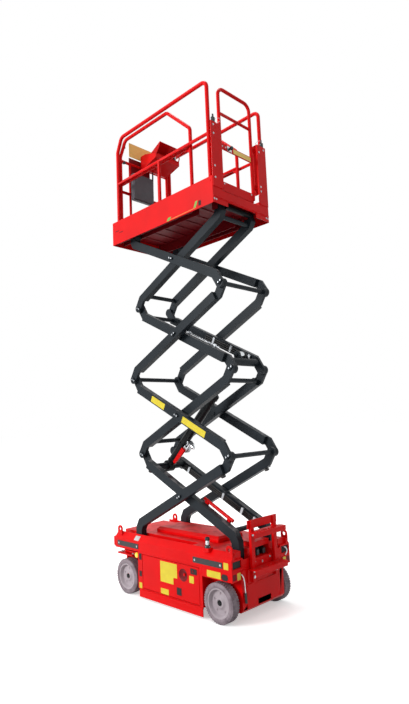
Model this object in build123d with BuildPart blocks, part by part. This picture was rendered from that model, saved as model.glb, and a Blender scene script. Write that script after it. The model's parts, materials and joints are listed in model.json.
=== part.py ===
from build123d import *
from math import cos, pi, radians, sin
import os

# Raised electric scissor lift with a slide-out platform deck. Millimetres.
# +Z is up, X runs along the machine (ladder end at +X, steered end at -X), Y across it.
# The origin is on the ground under the middle of the machine.

# Driving dimensions: chassis
half_length = 825.0
half_width = 380.0
body_half_width = 376.0
wheel_radius = 157.0
wheel_width = 88.0
rim_radius = 116.0
front_axle_x = -635.0
rear_axle_x = 557.0
front_wheel_face_y = 375.0
kingpin_y = 290.0
hull_front_x = -450.0
hull_rear_x = 390.0
hull_bottom_z = 90.0
deck_bottom_z = 406.0
side_fold_z = 500.0
deck_top_z = 552.0
side_band_y = 330.0
body_front_x = -805.0
body_rear_x = 720.0
fender_bottom_z = 336.0

# Driving dimensions: scissor arms
arm_length = 1404.0
rest_angle = 31.0
stow_angle = 4.5
tube_height = 80.0
tube_bend = 612.0
centre_x = 67.0
centre_z = 926.0
base_reach = 710.0
base_angle = 36.6
crank_bend = 600.0
base_crank = (655.0, 38.0)
top_reach = 641.9
top_angle = 33.38
top_bend = 590.0
top_crank = (628.0, 26.0)
outer_plane = (256.0, 316.0)
inner_plane = (172.0, 232.0)
lap_gap = 3.0
lap_start = 592.0
pin_radius = 20.0
eye_radius = 42.0
knuckle_tube_radius = 20.0
cross_tube_radius = 34.0
spreader_radius = 20.0

# Driving dimensions: platform
platform_front_x = -735.0
platform_rear_x = 706.0
skirt_bottom_z = 3410.0
skirt_top_z = 3650.0
floor_bottom_z = 3536.0
floor_thickness = 10.0
plate_thickness = 4.0
sill_thickness = 8.0
rail_radius = 16.0
brace_radius = 13.5
rail_top_z = 4545.0
rail_mid_z = 4055.0
main_rail_y = 358.0
main_post_x = -650.0
rear_post_x = 665.0
deck_rail_y = 320.0
deck_rail_top_z = 4520.0
deck_rear_x = 420.0

# Derived positions of the scissor stack
tilt = rest_angle - stow_angle
level_rise = 2 * arm_length / 2 * sin(radians(rest_angle))
half_reach = arm_length / 2 * cos(radians(stow_angle))
half_drop = arm_length / 2 * sin(radians(stow_angle))
base_offset = base_angle - tilt
base_u = base_reach * cos(radians(base_offset))
base_w = base_reach * sin(radians(base_offset))
base_pin_dx = base_reach * cos(radians(base_angle))
base_pin_z = centre_z - base_reach * sin(radians(base_angle))
fixed_pin_x = centre_x + base_pin_dx
top_offset = top_angle - tilt
top_u = top_reach * cos(radians(top_offset))
top_w = top_reach * sin(radians(top_offset))
top_pin_z = centre_z + 3 * level_rise + top_reach * sin(radians(top_angle))
top_pin_x = centre_x + top_reach * cos(radians(top_angle))
cylinder_low = (-520.0, 0.0)
cylinder_high = (570.0, 30.0)
lug_tube = (634.0, -14.0)

sides = {"near": -1, "far": 1}

os.makedirs("parts", exist_ok=True)


def save(part, name):
    part.label = name
    export_step(part, f"parts/{name}.step")


def block(xs, ys, zs, mode=Mode.ADD):
    with Locations(((xs[0] + xs[1]) / 2, (ys[0] + ys[1]) / 2, (zs[0] + zs[1]) / 2)):
        Box(xs[1] - xs[0], abs(ys[1] - ys[0]), zs[1] - zs[0], mode=mode)


def round_y(x, z, ys, radius, mode=Mode.ADD):
    with Locations(Location((x, (ys[0] + ys[1]) / 2, z), (90, 0, 0))):
        Cylinder(radius, abs(ys[1] - ys[0]), mode=mode)


def round_x(y, z, xs, radius, mode=Mode.ADD):
    with Locations(Location(((xs[0] + xs[1]) / 2, y, z), (0, 90, 0))):
        Cylinder(radius, xs[1] - xs[0], mode=mode)


def round_z(x, y, zs, radius, mode=Mode.ADD):
    with Locations((x, y, (zs[0] + zs[1]) / 2)):
        Cylinder(radius, zs[1] - zs[0], mode=mode)


def tube_run(points, bend, radius=rail_radius):
    """A round tube along straight runs joined by bends of one radius."""
    with BuildLine() as run:
        if len(points) > 2:
            FilletPolyline(*points, radius=bend)
        else:
            Line(*points)
    path = run.wires()[0]
    with BuildSketch(Plane(origin=path @ 0, z_dir=path % 0)) as section:
        Circle(radius)
    sweep(section.sketch, path=path)


def mirror_y(span, side):
    return (side * span[0], side * span[1])


def side_profile(plane_x, amount, outline):
    """A solid with a Y-Z outline, drawn at plane_x and run along +X."""
    plane = Plane(origin=(plane_x, 0, 0), x_dir=(0, 1, 0), z_dir=(1, 0, 0))
    with BuildSketch(plane) as profile:
        with BuildLine():
            Polyline(*outline, close=True)
        make_face()
    extrude(profile.sketch, amount=amount)


def elevation(outline, ys, mode=Mode.ADD):
    """A solid with an X-Z outline between two Y values."""
    plane = Plane(origin=(0, max(ys), 0), x_dir=(1, 0, 0), z_dir=(0, -1, 0))
    with BuildSketch(plane) as profile:
        with BuildLine():
            Polyline(*outline, close=True)
        make_face()
    extrude(profile.sketch, amount=abs(ys[1] - ys[0]), mode=mode)


# Chassis

bay_x = (-388.0, 356.0)
bay_z = (96.0, 396.0)
bay_depth_y = 168.0
door_gap = 5.0
door_thickness = 18.0
tray_hinge = (-375.5, 367.0)
hinge_pin_radius = 5.0


def chassis_hull():
    with BuildPart() as hull:
        block((hull_front_x, hull_rear_x), (-body_half_width, body_half_width),
              (hull_bottom_z, deck_bottom_z))
        for side in sides.values():
            block(bay_x, mirror_y((bay_depth_y, half_width), side), bay_z, mode=Mode.SUBTRACT)
            for pin_z in ((bay_z[0] - 3, bay_z[0] + 30), (bay_z[1] - 30, bay_z[1] + 3)):
                round_z(tray_hinge[0], side * tray_hinge[1], pin_z, hinge_pin_radius)
    return hull.part


eye_xs = (-742.0, 686.0)
eye_plate_y = (350.0, 362.0)
eye_plate_radius = 34.0
eye_foot_z = 500.0
eye_z = 577.0


roller_slot_y = (248.0, 326.0)
roller_slot_floor_z = 440.0


def upper_body():
    """The folded deck with the roller slots, the pin pockets and the open rear end."""
    slot_x = (body_front_x - 1, 235.0)
    pocket_x = (535.0, 710.0)
    pocket_y = (161.0, 243.0)
    end_wall_x = body_rear_x - 20
    end_top_z = side_fold_z
    half = [(body_half_width, deck_bottom_z), (body_half_width, side_fold_z),
            (side_band_y, deck_top_z)]
    outline = half + [(-y, z) for y, z in reversed(half)]
    with BuildPart() as body:
        side_profile(body_front_x, body_rear_x - body_front_x, outline)
        block((600, 704), (-90, 120), (deck_top_z - 1, 585))
        block((end_wall_x, body_rear_x + 1), (-side_band_y, side_band_y), (end_top_z, 600),
              mode=Mode.SUBTRACT)
        block((640, body_rear_x + 1), (-118, 118), (465, 540), mode=Mode.SUBTRACT)
        for side in sides.values():
            block(slot_x, mirror_y(roller_slot_y, side), (roller_slot_floor_z, 600),
                  mode=Mode.SUBTRACT)
            block(pocket_x, mirror_y(pocket_y, side), (roller_slot_floor_z, 600),
                  mode=Mode.SUBTRACT)
            block((pocket_x[0], body_rear_x + 1), mirror_y(pocket_y, side), (485, 600),
                  mode=Mode.SUBTRACT)
            block((hull_rear_x, body_rear_x), mirror_y((300, body_half_width), side),
                  (fender_bottom_z, deck_bottom_z + 10))
            block((body_rear_x - 25, body_rear_x), mirror_y((272, body_half_width), side),
                  (fender_bottom_z, deck_bottom_z + 10))
            block((body_rear_x - 60, body_rear_x + 1), mirror_y((262, 362), side), (432, 488),
                  mode=Mode.SUBTRACT)
            for x in eye_xs:
                block((x - eye_plate_radius, x + eye_plate_radius), mirror_y(eye_plate_y, side),
                      (eye_foot_z, deck_top_z), mode=Mode.SUBTRACT)
    return body.part


def deck_hood():
    hood_x = (-430.0, 380.0)
    with BuildPart() as hood:
        side_profile(hood_x[0], hood_x[1] - hood_x[0],
                     [(-158, deck_top_z), (-158, 578), (-136, 600), (136, 600), (158, 578),
                      (158, deck_top_z)])
        ends = hood.faces().filter_by(Axis.X)
        chamfer(ends.edges().group_by(Axis.Z)[-1], 18)
    return hood.part


def front_frame():
    frame_half = 122.0
    with BuildPart() as frame:
        block((body_front_x, hull_front_x), (-frame_half, frame_half), (110, deck_bottom_z))
        block((-half_length, body_front_x), (-body_half_width, body_half_width), (418, 505))
        block((-half_length, body_front_x), (-230, 230), (150, 418))
        for side in sides.values():
            block((-half_length - 1, body_front_x + 1), mirror_y(roller_slot_y, side),
                  (roller_slot_floor_z, 506), mode=Mode.SUBTRACT)
    return frame.part


def rear_box():
    box_half = 268.0
    rear_x = 722.0
    with BuildPart() as box:
        block((hull_rear_x, rear_x), (-box_half, box_half), (84, deck_bottom_z))
        edges = box.edges().filter_by(Axis.Y).sort_by(Axis.X)[-2:]
        chamfer(edges.sort_by(Axis.Z)[0], 22)
        block((rear_x - 1, rear_x + 4), (-215, 215), (108, 290))
        block((rear_x - 60, rear_x + 5), (-82, 82), (112, 154), mode=Mode.SUBTRACT)
        for side in sides.values():
            round_y(rear_axle_x, wheel_radius, mirror_y((box_half - 1, 290), side), 62)
            round_y(rear_axle_x, wheel_radius, mirror_y((280, 352), side), 21.7)
    return box.part


def steer_brackets():
    plate_z = (368.0, 382.0)
    with BuildPart() as brackets:
        for side in sides.values():
            outline = [(hull_front_x, side * 335), (-680, side * 335), (-745, side * 310),
                       (-745, side * 122), (hull_front_x, side * 122)]
            with BuildSketch(Plane.XY.offset(plate_z[0])) as plate:
                with BuildLine():
                    Polyline(*outline, close=True)
                make_face()
            extrude(plate.sketch, amount=plate_z[1] - plate_z[0])
            round_z(front_axle_x, side * kingpin_y, (360, 390), 16.3, mode=Mode.SUBTRACT)
    return brackets.part


def rub_strips():
    with BuildPart() as strips:
        for side in sides.values():
            for x_range in ((-760, -440), (288, 622)):
                block(x_range, mirror_y((body_half_width, half_width), side), (430, 476))
    return strips.part


def lifting_eyes():
    hole_radius = 15.0
    with BuildPart() as eyes:
        for side in sides.values():
            for x in eye_xs:
                round_y(x, eye_z, mirror_y(eye_plate_y, side), eye_plate_radius)
                block((x - eye_plate_radius, x + eye_plate_radius), mirror_y(eye_plate_y, side),
                      (eye_foot_z, eye_z))
                round_y(x, eye_z, mirror_y((340, 370), side), hole_radius, mode=Mode.SUBTRACT)
    return eyes.part


def base_pivot_brackets():
    """Cheek plates that hold the fixed lower arm pins, with the pins."""
    cheeks = ((161.0, 168.0), (236.0, 243.0))
    with BuildPart() as brackets:
        for side in sides.values():
            for cheek in cheeks:
                round_y(fixed_pin_x, base_pin_z, mirror_y(cheek, side), 40)
                block((fixed_pin_x - 40, fixed_pin_x + 40), mirror_y(cheek, side), (440, base_pin_z))
            round_y(fixed_pin_x, base_pin_z, mirror_y((cheeks[0][0], cheeks[1][1]), side), pin_radius)
    return brackets.part


ladder_x = 728.0


def entry_ladder():
    """Two uprights with the top plate and two treads, cut back clear of the raised arms."""
    tread_half = 205.0
    upright_ys = ((-167, -125), (125, 167))
    with BuildPart() as ladder:
        for ys in upright_ys:
            block((ladder_x, ladder_x + 26), ys, (300, 772))
        block((ladder_x + 4, ladder_x + 12), (-190, 190), (712, 776))
        for tread_z, lip_z, root_half in ((408, 362, tread_half), (690, 650, 165.0)):
            outline = [(ladder_x + 10, -root_half), (ladder_x + 42, -tread_half),
                       (half_length, -tread_half), (half_length, tread_half),
                       (ladder_x + 42, tread_half), (ladder_x + 10, root_half)]
            with BuildSketch(Plane.XY.offset(tread_z - 6)) as tread:
                with BuildLine():
                    Polyline(*outline, close=True)
                make_face()
            extrude(tread.sketch, amount=6)
            block((half_length - 6, half_length), (-tread_half, tread_half), (lip_z, tread_z))
        block((ladder_x - 4, ladder_x + 6), (-tread_half, tread_half), (300, 402))
    return ladder.part


def side_lamps():
    with BuildPart() as lamps:
        for side in sides.values():
            round_y(-484, 370, mirror_y((340, 374), side), 22)
    return lamps.part


# Battery trays that swing out of the hull sides


def tray_door(side):
    door_x = (bay_x[0] + door_gap, bay_x[1] - door_gap)
    door_back_y = body_half_width - door_thickness
    door_y = mirror_y((door_back_y, body_half_width), side)
    with BuildPart() as door:
        block(door_x, door_y, (bay_z[0] + door_gap, bay_z[1] - door_gap))
        block((door_x[0] + 60, door_x[1] - 55), mirror_y((200, door_back_y), side), (102, 112))
        round_y(161, 305, mirror_y((body_half_width - 8, half_width), side), 48, mode=Mode.SUBTRACT)
        block((262, 322), mirror_y((door_back_y - 1, half_width), side), (340, 368),
              mode=Mode.SUBTRACT)
        block((84, 128), mirror_y((body_half_width - 6, half_width), side), (140, 184),
              mode=Mode.SUBTRACT)
        round_z(tray_hinge[0], side * tray_hinge[1], (bay_z[0], bay_z[1]), hinge_pin_radius + 0.3,
                mode=Mode.SUBTRACT)
    return door.part


def battery_block(side):
    with BuildPart() as battery:
        block((bay_x[0] + 75, bay_x[1] - 70), mirror_y((205, 345), side), (112, 340))
    return battery.part


def pothole_guard(side):
    guard_x = (hull_front_x + 12, hull_rear_x - 8)
    with BuildPart() as guard:
        block(guard_x, mirror_y((368, 375), side), (16, 78))
        round_x(side * 368, 80, guard_x, 6)
    return guard.part


# Wheels

def steer_knuckle(side):
    with BuildPart() as knuckle:
        block((front_axle_x - 42, front_axle_x + 42), mirror_y((236, 322), side), (326, 360))
        block((front_axle_x - 42, front_axle_x + 42), mirror_y((236, 258), side), (98, 330))
        round_z(front_axle_x, side * kingpin_y, (355, 396), 16)
        round_y(front_axle_x, wheel_radius, mirror_y((256, 350), side), 21.7)
        round_y(front_axle_x, wheel_radius, mirror_y((256, 282), side), 58)
    return knuckle.part


def wheel_faces(is_front):
    return front_wheel_face_y if is_front else half_width


def tyre(axle_x, side, face_y):
    inner_y = face_y - wheel_width
    with BuildPart() as ring:
        round_y(axle_x, wheel_radius, mirror_y((inner_y, face_y), side), wheel_radius)
        round_y(axle_x, wheel_radius, mirror_y((inner_y - 1, face_y + 1), side), rim_radius,
                mode=Mode.SUBTRACT)
        outer = ring.edges().filter_by(GeomType.CIRCLE).sort_by(SortBy.RADIUS)[-2:]
        chamfer(outer, 9)
    return ring.part


def rim(axle_x, side, face_y):
    inner_y = face_y - wheel_width
    with BuildPart() as disc:
        round_y(axle_x, wheel_radius, mirror_y((inner_y + 4, face_y - 4), side), rim_radius)
        round_y(axle_x, wheel_radius, mirror_y((face_y - 26, face_y), side), rim_radius - 12,
                mode=Mode.SUBTRACT)
        round_y(axle_x, wheel_radius, mirror_y((face_y - 30, face_y - 8), side), 34)
        round_y(axle_x, wheel_radius, mirror_y((inner_y, inner_y + 20), side), rim_radius - 12,
                mode=Mode.SUBTRACT)
        round_y(axle_x, wheel_radius, mirror_y((inner_y, face_y + 1), side), 22, mode=Mode.SUBTRACT)
    return disc.part


# Scissor arms

def band(points, half):
    """Outline of a bar of one width along a bent centre line, with mitred bends."""
    vectors = [Vector(*p) for p in points]
    left = []
    right = []
    for i, point in enumerate(vectors):
        before = (point - vectors[i - 1]).normalized() if i else (vectors[1] - point).normalized()
        last = i == len(vectors) - 1
        after = before if last else (vectors[i + 1] - point).normalized()
        tangent = (before + after).normalized()
        normal = Vector(-tangent.Y, tangent.X)
        reach = half / tangent.dot(after)
        left.append(point + normal * reach)
        right.append(point - normal * reach)
    return [(v.X, v.Y) for v in left + right[::-1]]


def arm_pins(rising, level):
    """Local (u, w) of the low and high pins, measured from the centre pin along the tube."""
    low = (-base_u, -base_w) if level == 1 else (-half_reach, -half_drop)
    high = (top_u, top_w) if level == 4 else (half_reach, half_drop)
    if rising:
        return low, high
    return (-low[0], low[1]), (-high[0], high[1])


def arm_centre(level):
    return (centre_x, centre_z + (level - 1) * level_rise)


def arm_plane(rising, level, y):
    x, z = arm_centre(level)
    lean = radians(tilt) if rising else -radians(tilt)
    return Plane(origin=(x, y, z), x_dir=(cos(lean), 0, sin(lean)), z_dir=(0, -1, 0))


def arm_bends(rising, level):
    """Centre line points between the pins: a bend near each knuckle, two at a cranked foot."""
    run = 1 if rising else -1
    low = [(-run * tube_bend, 0)]
    high = [(run * tube_bend, 0)]
    if level == 1:
        low = [(-run * base_crank[0], -base_crank[1]), (-run * crank_bend, 0)]
    if level == 4:
        high = [(run * top_bend, 0), (run * top_crank[0], top_crank[1])]
    return low + high


def arm_slab(rising, level, ys):
    """One cranked bar of an arm between two Y values."""
    low, high = arm_pins(rising, level)
    points = [low, *arm_bends(rising, level), high]
    with BuildSketch(arm_plane(rising, level, max(ys))) as outline:
        with BuildLine():
            Polyline(*band(points, tube_height / 2), close=True)
        make_face()
        with Locations(low, high):
            Circle(eye_radius)
    extrude(outline.sketch, amount=abs(ys[1] - ys[0]))


def arm_round(rising, level, spot, ys, radius, mode=Mode.ADD):
    with BuildSketch(arm_plane(rising, level, max(ys))) as disc:
        with Locations(spot):
            Circle(radius)
    extrude(disc.sketch, amount=abs(ys[1] - ys[0]), mode=mode)


def lap_cut(plane, keeps_inside):
    """The Y range cut from a knuckle end so that two bars can share one plane."""
    middle = (plane[0] + plane[1]) / 2
    if keeps_inside:
        return (middle - lap_gap / 2, plane[1] + 1)
    return (plane[0] - 1, middle + lap_gap / 2)


def arm_lap(rising, level, spot, ys):
    """Takes half of the bar's thickness away around a knuckle."""
    far_u = 1.0 if spot[0] > 0 else -1.0
    with BuildSketch(arm_plane(rising, level, max(ys))) as notch:
        with Locations((far_u * (lap_start + 150), 0)):
            Rectangle(300, 500)
    extrude(notch.sketch, amount=abs(ys[1] - ys[0]), mode=Mode.SUBTRACT)


def arm(rising, level):
    """Both bars of one scissor arm with the tubes and pins that join them."""
    outer = rising == (level % 2 == 1)
    plane = outer_plane if outer else inner_plane
    low, high = arm_pins(rising, level)
    low_keeps_inside = not outer and level == 3
    high_keeps_inside = outer or level != 2
    with BuildPart() as pair:
        for side in sides.values():
            arm_slab(rising, level, mirror_y(plane, side))
            if level > 1:
                arm_lap(rising, level, low, mirror_y(lap_cut(plane, low_keeps_inside), side))
                arm_round(rising, level, low, mirror_y((plane[0] - 1, plane[1] + 20), side),
                          pin_radius + 0.3, mode=Mode.SUBTRACT)
            if level < 4:
                arm_lap(rising, level, high, mirror_y(lap_cut(plane, high_keeps_inside), side))
                arm_round(rising, level, high, mirror_y((plane[0], plane[1] + 8), side), pin_radius)
            if outer:
                arm_round(rising, level, (0, 0), mirror_y((inner_plane[0] - 6, plane[1] + 8), side),
                          pin_radius)
            else:
                arm_round(rising, level, (0, 0), mirror_y((plane[0] - 1, plane[1] + 1), side),
                          pin_radius + 0.3, mode=Mode.SUBTRACT)
        arm_ends(rising, level, outer, high)
    return pair.part


def cross_tube_spots(level):
    """Where the tubes that join the two inner bars sit, along the bars from the centre pin."""
    if level == 1:
        return (cylinder_low, (560.0, 0.0))
    if level == 3:
        return (lug_tube, (-600.0, 0.0))
    return ((-560.0, 0.0), (600.0, 0.0))


def arm_ends(rising, level, outer, high):
    if outer:
        if level < 4:
            arm_round(rising, level, high, (-outer_plane[0] - 1, outer_plane[0] + 1),
                      knuckle_tube_radius)
        return
    for spot in cross_tube_spots(level):
        radius = cross_tube_radius if spot in (cylinder_low, lug_tube) else spreader_radius
        arm_round(rising, level, spot, (-inner_plane[0] - 1, inner_plane[0] + 1), radius)


def add_rollers(part, rising, level, spot, ys):
    with BuildPart() as pair:
        add(part)
        for side in sides.values():
            arm_round(rising, level, spot, mirror_y(ys, side), 34)
    return pair.part


def base_arm_outer():
    """The first outer arm, whose low pins carry the rollers in the chassis slots."""
    low, high = arm_pins(True, 1)
    return add_rollers(arm(True, 1), True, 1, low, (252, 320))


def bored(part, rising, level, spot):
    """Opens an arm's end for a pin that belongs to the body it turns on."""
    with BuildPart() as pair:
        add(part)
        for side in sides.values():
            arm_round(rising, level, spot, mirror_y((inner_plane[0] - 5, inner_plane[1] + 5), side),
                      pin_radius + 0.3, mode=Mode.SUBTRACT)
    return pair.part


def lower_inner_arm():
    low, high = arm_pins(False, 1)
    return bored(arm(False, 1), False, 1, low)


def cylinder_arm():
    """The third inner arm, with the lugs that the cylinder's rod pushes on."""
    tube_u, tube_w = lug_tube
    rod_u, rod_w = cylinder_high
    with BuildPart() as pair:
        add(arm(False, 3))
        for side in sides.values():
            ys = mirror_y((36, 50), side)
            plane = arm_plane(False, 3, max(ys))
            with BuildSketch(plane) as lug:
                with BuildLine():
                    Polyline((tube_u - 20, tube_w - 26), (tube_u + 20, tube_w - 20),
                             (tube_u + 20, tube_w + 24), (rod_u + 24, rod_w + 26),
                             (rod_u - 26, rod_w + 26), (rod_u - 26, rod_w - 22), close=True)
                make_face()
            extrude(lug.sketch, amount=14)
            arm_round(False, 3, cylinder_high, mirror_y((44, 62), side), 18)
    return pair.part


def top_inner_arm():
    low, high = arm_pins(True, 4)
    return bored(arm(True, 4), True, 4, high)


def top_outer_arm():
    low, high = arm_pins(False, 4)
    return add_rollers(arm(False, 4), False, 4, high, (252, 320))


def to_world(rising, level, spot):
    plane = arm_plane(rising, level, 0)
    return plane.from_local_coords(Vector(spot[0], spot[1], 0))


# Lift cylinder

low_eye = to_world(False, 1, cylinder_low)
high_eye = to_world(False, 3, cylinder_high)
barrel_length = 930.0
barrel_radius = 42.0
rod_radius = 26.0
rod_length = 830.0


def cylinder_axis_plane(start, toward):
    return Plane(origin=start, z_dir=(toward - start).normalized())


def cylinder_barrel():
    plane = cylinder_axis_plane(low_eye, high_eye)
    with BuildPart() as barrel:
        with BuildSketch(plane.offset(46)) as tube:
            Circle(barrel_radius)
        extrude(tube.sketch, amount=barrel_length - 46)
        with BuildSketch(plane) as neck:
            Circle(26)
        extrude(neck.sketch, amount=60)
        round_y(low_eye.X, low_eye.Z, (-34, 34), 54)
        with BuildSketch(plane.offset(120)) as bore:
            Circle(rod_radius + 0.4)
        extrude(bore.sketch, amount=barrel_length, mode=Mode.SUBTRACT)
        round_y(low_eye.X, low_eye.Z, (-60, 60), cross_tube_radius + 0.4, mode=Mode.SUBTRACT)
    return barrel.part


def cylinder_rod():
    plane = cylinder_axis_plane(high_eye, low_eye)
    with BuildPart() as rod:
        with BuildSketch(plane) as bar:
            Circle(rod_radius)
        extrude(bar.sketch, amount=rod_length)
        round_y(high_eye.X, high_eye.Z, (-30, 30), 30)
    return rod.part


def valve_block():
    axis = (high_eye - low_eye).normalized()
    centre = low_eye + axis * 330
    with BuildPart() as valve:
        with BuildSketch(Plane(origin=centre, x_dir=axis, z_dir=(0, -1, 0)).offset(-30)) as body:
            with Locations((0, -68)):
                Rectangle(110, 50)
        extrude(body.sketch, amount=60)
    return valve.part


def maintenance_prop():
    prop_w = 56.0
    start = to_world(False, 1, (150, prop_w))
    finish = to_world(False, 1, (512, prop_w))
    with BuildPart() as prop:
        tube_run([(start.X, -148, start.Z), (finish.X, -148, finish.Z)], 0, 15)
        for u in (200.0, 480.0):
            with BuildSketch(arm_plane(False, 1, -148)) as clip:
                with Locations((u, prop_w - 16)):
                    Rectangle(34, 40)
            extrude(clip.sketch, amount=inner_plane[0] - 148)
    return prop.part


# Platform

floor_half = half_width - plate_thickness


def platform_floor():
    with BuildPart() as floor:
        block((platform_front_x, platform_rear_x - sill_thickness), (-floor_half, floor_half),
              (floor_bottom_z, floor_bottom_z + floor_thickness))
        for side in sides.values():
            for cheek in ((160, 167), (237, 244)):
                block((top_pin_x - 42, top_pin_x + 20), mirror_y(cheek, side),
                      (top_pin_z - 30, floor_bottom_z + 1))
            round_y(top_pin_x, top_pin_z, mirror_y((160, 244), side), pin_radius)
    return floor.part


def platform_skirts():
    """Side panels and the rear sill, which hangs lower at its two ends."""
    sill_x = (platform_rear_x - sill_thickness, platform_rear_x)
    with BuildPart() as skirts:
        for side in sides.values():
            block((platform_front_x, platform_rear_x), mirror_y((floor_half, half_width), side),
                  (skirt_bottom_z, skirt_top_z))
            block(sill_x, mirror_y((252, floor_half), side), (floor_bottom_z, skirt_top_z))
            block(sill_x, mirror_y((190, floor_half), side), (skirt_bottom_z + 6, 3470))
        block(sill_x, (-floor_half, floor_half), (3454, floor_bottom_z + floor_thickness))
    return skirts.part


def platform_slide_rails():
    """Roller tracks under the floor and the cross channel near the fixed top pins."""
    channel_x = (630.0, 660.0)
    with BuildPart() as rails:
        for side in sides.values():
            for ys in ((326, 334), (240, 247)):
                block((platform_front_x + 5, 400), mirror_y(ys, side),
                      (skirt_bottom_z + 20, floor_bottom_z))
        block(channel_x, (-156, 156), (3428, 3458))
        block((channel_x[0], channel_x[0] + 6), (-156, 156), (3450, floor_bottom_z))
    return rails.part


def main_rails(side):
    y = side * main_rail_y
    z0 = skirt_top_z - 60
    with BuildPart() as rails:
        tube_run([(main_post_x, y, z0), (main_post_x, y, 4400), (main_post_x + 70, y, rail_top_z),
                  (rear_post_x, y, rail_top_z), (rear_post_x, y, z0)], 60)
        tube_run([(main_post_x, y, rail_mid_z), (rear_post_x, y, rail_mid_z)], 0, brace_radius)
        tube_run([(0, y, z0), (0, y, rail_mid_z)], 0, brace_radius)
    return rails.part


gate_hinge_y = 238.5
gate_hinge_zs = (3720.0, 4090.0)
gate_pin_radius = 6.0
gate_barrel_height = 32.0


def entry_posts():
    """Plates that box in the rear rail ends, with the gate's two hinge pins."""
    inner_y = 252.0
    with BuildPart() as posts:
        for side in sides.values():
            ys = mirror_y((inner_y, floor_half), side)
            block((platform_rear_x, platform_rear_x + 6), ys, (3560, 4150))
            block((platform_rear_x - 50, platform_rear_x), mirror_y((inner_y, inner_y + 6), side),
                  (3656, 4150))
        for z in gate_hinge_zs:
            block((rear_post_x - 1, rear_post_x + 25), (232.5, inner_y + 1), (z - 8, z))
            round_z(rear_post_x, gate_hinge_y, (z - 8, z + gate_barrel_height), gate_pin_radius)
    return posts.part


def entry_gate():
    x = rear_post_x
    half = 215.0
    with BuildPart() as gate:
        tube_run([(x, -half, 3600), (x, -half, rail_top_z), (x, half, rail_top_z), (x, half, 3600)],
                 70)
        tube_run([(x, -half, 4300), (x, half, 4300)], 0, brace_radius)
        block((x - 4, x + 4), (-half, half), (3575, 3660))
        block((x - 4, x + 4), (-half, half), (3965, 4020))
        for z in gate_hinge_zs:
            round_z(x, gate_hinge_y, (z + 1, z + gate_barrel_height), gate_pin_radius + 5)
            round_z(x, gate_hinge_y, (z, z + gate_barrel_height + 1), gate_pin_radius + 0.3,
                    mode=Mode.SUBTRACT)
    return gate.part


def deck_floor():
    floor_z = floor_bottom_z + floor_thickness + 5
    with BuildPart() as deck:
        block((platform_front_x + 6, deck_rear_x), (-339, 339), (floor_z, floor_z + 8))
        for side in sides.values():
            block((platform_front_x + 6, deck_rear_x), mirror_y((335.2, 339), side),
                  (floor_z, skirt_top_z - 10))
        block((platform_front_x, platform_front_x + 6), (-365, 365), (floor_z, skirt_top_z))
    return deck.part


def deck_rails():
    front_x = main_post_x - 5
    rear_x = deck_rear_x - 20
    z0 = floor_bottom_z + floor_thickness + 13
    with BuildPart() as rails:
        for side in sides.values():
            y = side * deck_rail_y
            tube_run([(front_x, y, z0), (front_x, y, 4370), (front_x + 90, y, deck_rail_top_z),
                      (95, y, deck_rail_top_z), (rear_x, y, 4230), (rear_x, y, z0)], 60, 15)
            tube_run([(front_x, y, rail_mid_z), (rear_x, y, rail_mid_z)], 0, brace_radius)
            tube_run([(front_x, side * 200, z0), (front_x, side * 200, 4330)], 0, 12)
        for z in (3990, 4330):
            tube_run([(front_x, -deck_rail_y, z), (front_x, deck_rail_y, z)], 0, brace_radius)
    return rails.part


def sign_plate():
    x = main_post_x - 5 + rail_radius
    with BuildPart() as sign:
        block((x, x + 3), (-220, 85), (4405, 4560))
    return sign.part


def document_box():
    with BuildPart() as box:
        block((-600, -545), (-235, 30), (3900, 4190))
    return box.part


def control_box():
    with BuildPart() as box:
        block((-620, -360), (-80, 250), (4220, 4400))
        elevation([(-620, 4400), (-360, 4400), (-420, 4500), (-560, 4500)], (-80, 250))
    return box.part


def build():
    save(chassis_hull(), "chassis_hull")
    save(upper_body(), "upper_body")
    save(deck_hood(), "deck_hood")
    save(front_frame(), "front_frame")
    save(rear_box(), "rear_box")
    save(steer_brackets(), "steer_brackets")
    save(rub_strips(), "rub_strips")
    save(lifting_eyes(), "lifting_eyes")
    save(base_pivot_brackets(), "base_pivot_brackets")
    save(entry_ladder(), "entry_ladder")
    save(side_lamps(), "side_lamps")
    for name, side in sides.items():
        save(tray_door(side), f"tray_door_{name}")
        save(battery_block(side), f"battery_block_{name}")
        save(pothole_guard(side), f"pothole_guard_{name}")
        save(steer_knuckle(side), f"steer_knuckle_{name}")
        for end, axle_x in (("front", front_axle_x), ("rear", rear_axle_x)):
            face_y = wheel_faces(end == "front")
            save(tyre(axle_x, side, face_y), f"tyre_{end}_{name}")
            save(rim(axle_x, side, face_y), f"rim_{end}_{name}")
        save(main_rails(side), f"main_rails_{name}")
    save(base_arm_outer(), "arm_1_outer")
    save(lower_inner_arm(), "arm_1_inner")
    save(arm(False, 2), "arm_2_outer")
    save(arm(True, 2), "arm_2_inner")
    save(arm(True, 3), "arm_3_outer")
    save(cylinder_arm(), "arm_3_inner")
    save(top_outer_arm(), "arm_4_outer")
    save(top_inner_arm(), "arm_4_inner")
    save(cylinder_barrel(), "cylinder_barrel")
    save(cylinder_rod(), "cylinder_rod")
    save(valve_block(), "valve_block")
    save(maintenance_prop(), "maintenance_prop")
    save(platform_floor(), "platform_floor")
    save(platform_skirts(), "platform_skirts")
    save(platform_slide_rails(), "platform_slide_rails")
    save(entry_posts(), "entry_posts")
    save(entry_gate(), "entry_gate")
    save(deck_floor(), "deck_floor")
    save(deck_rails(), "deck_rails")
    save(sign_plate(), "sign_plate")
    save(document_box(), "document_box")
    save(control_box(), "control_box")


build()
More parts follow.
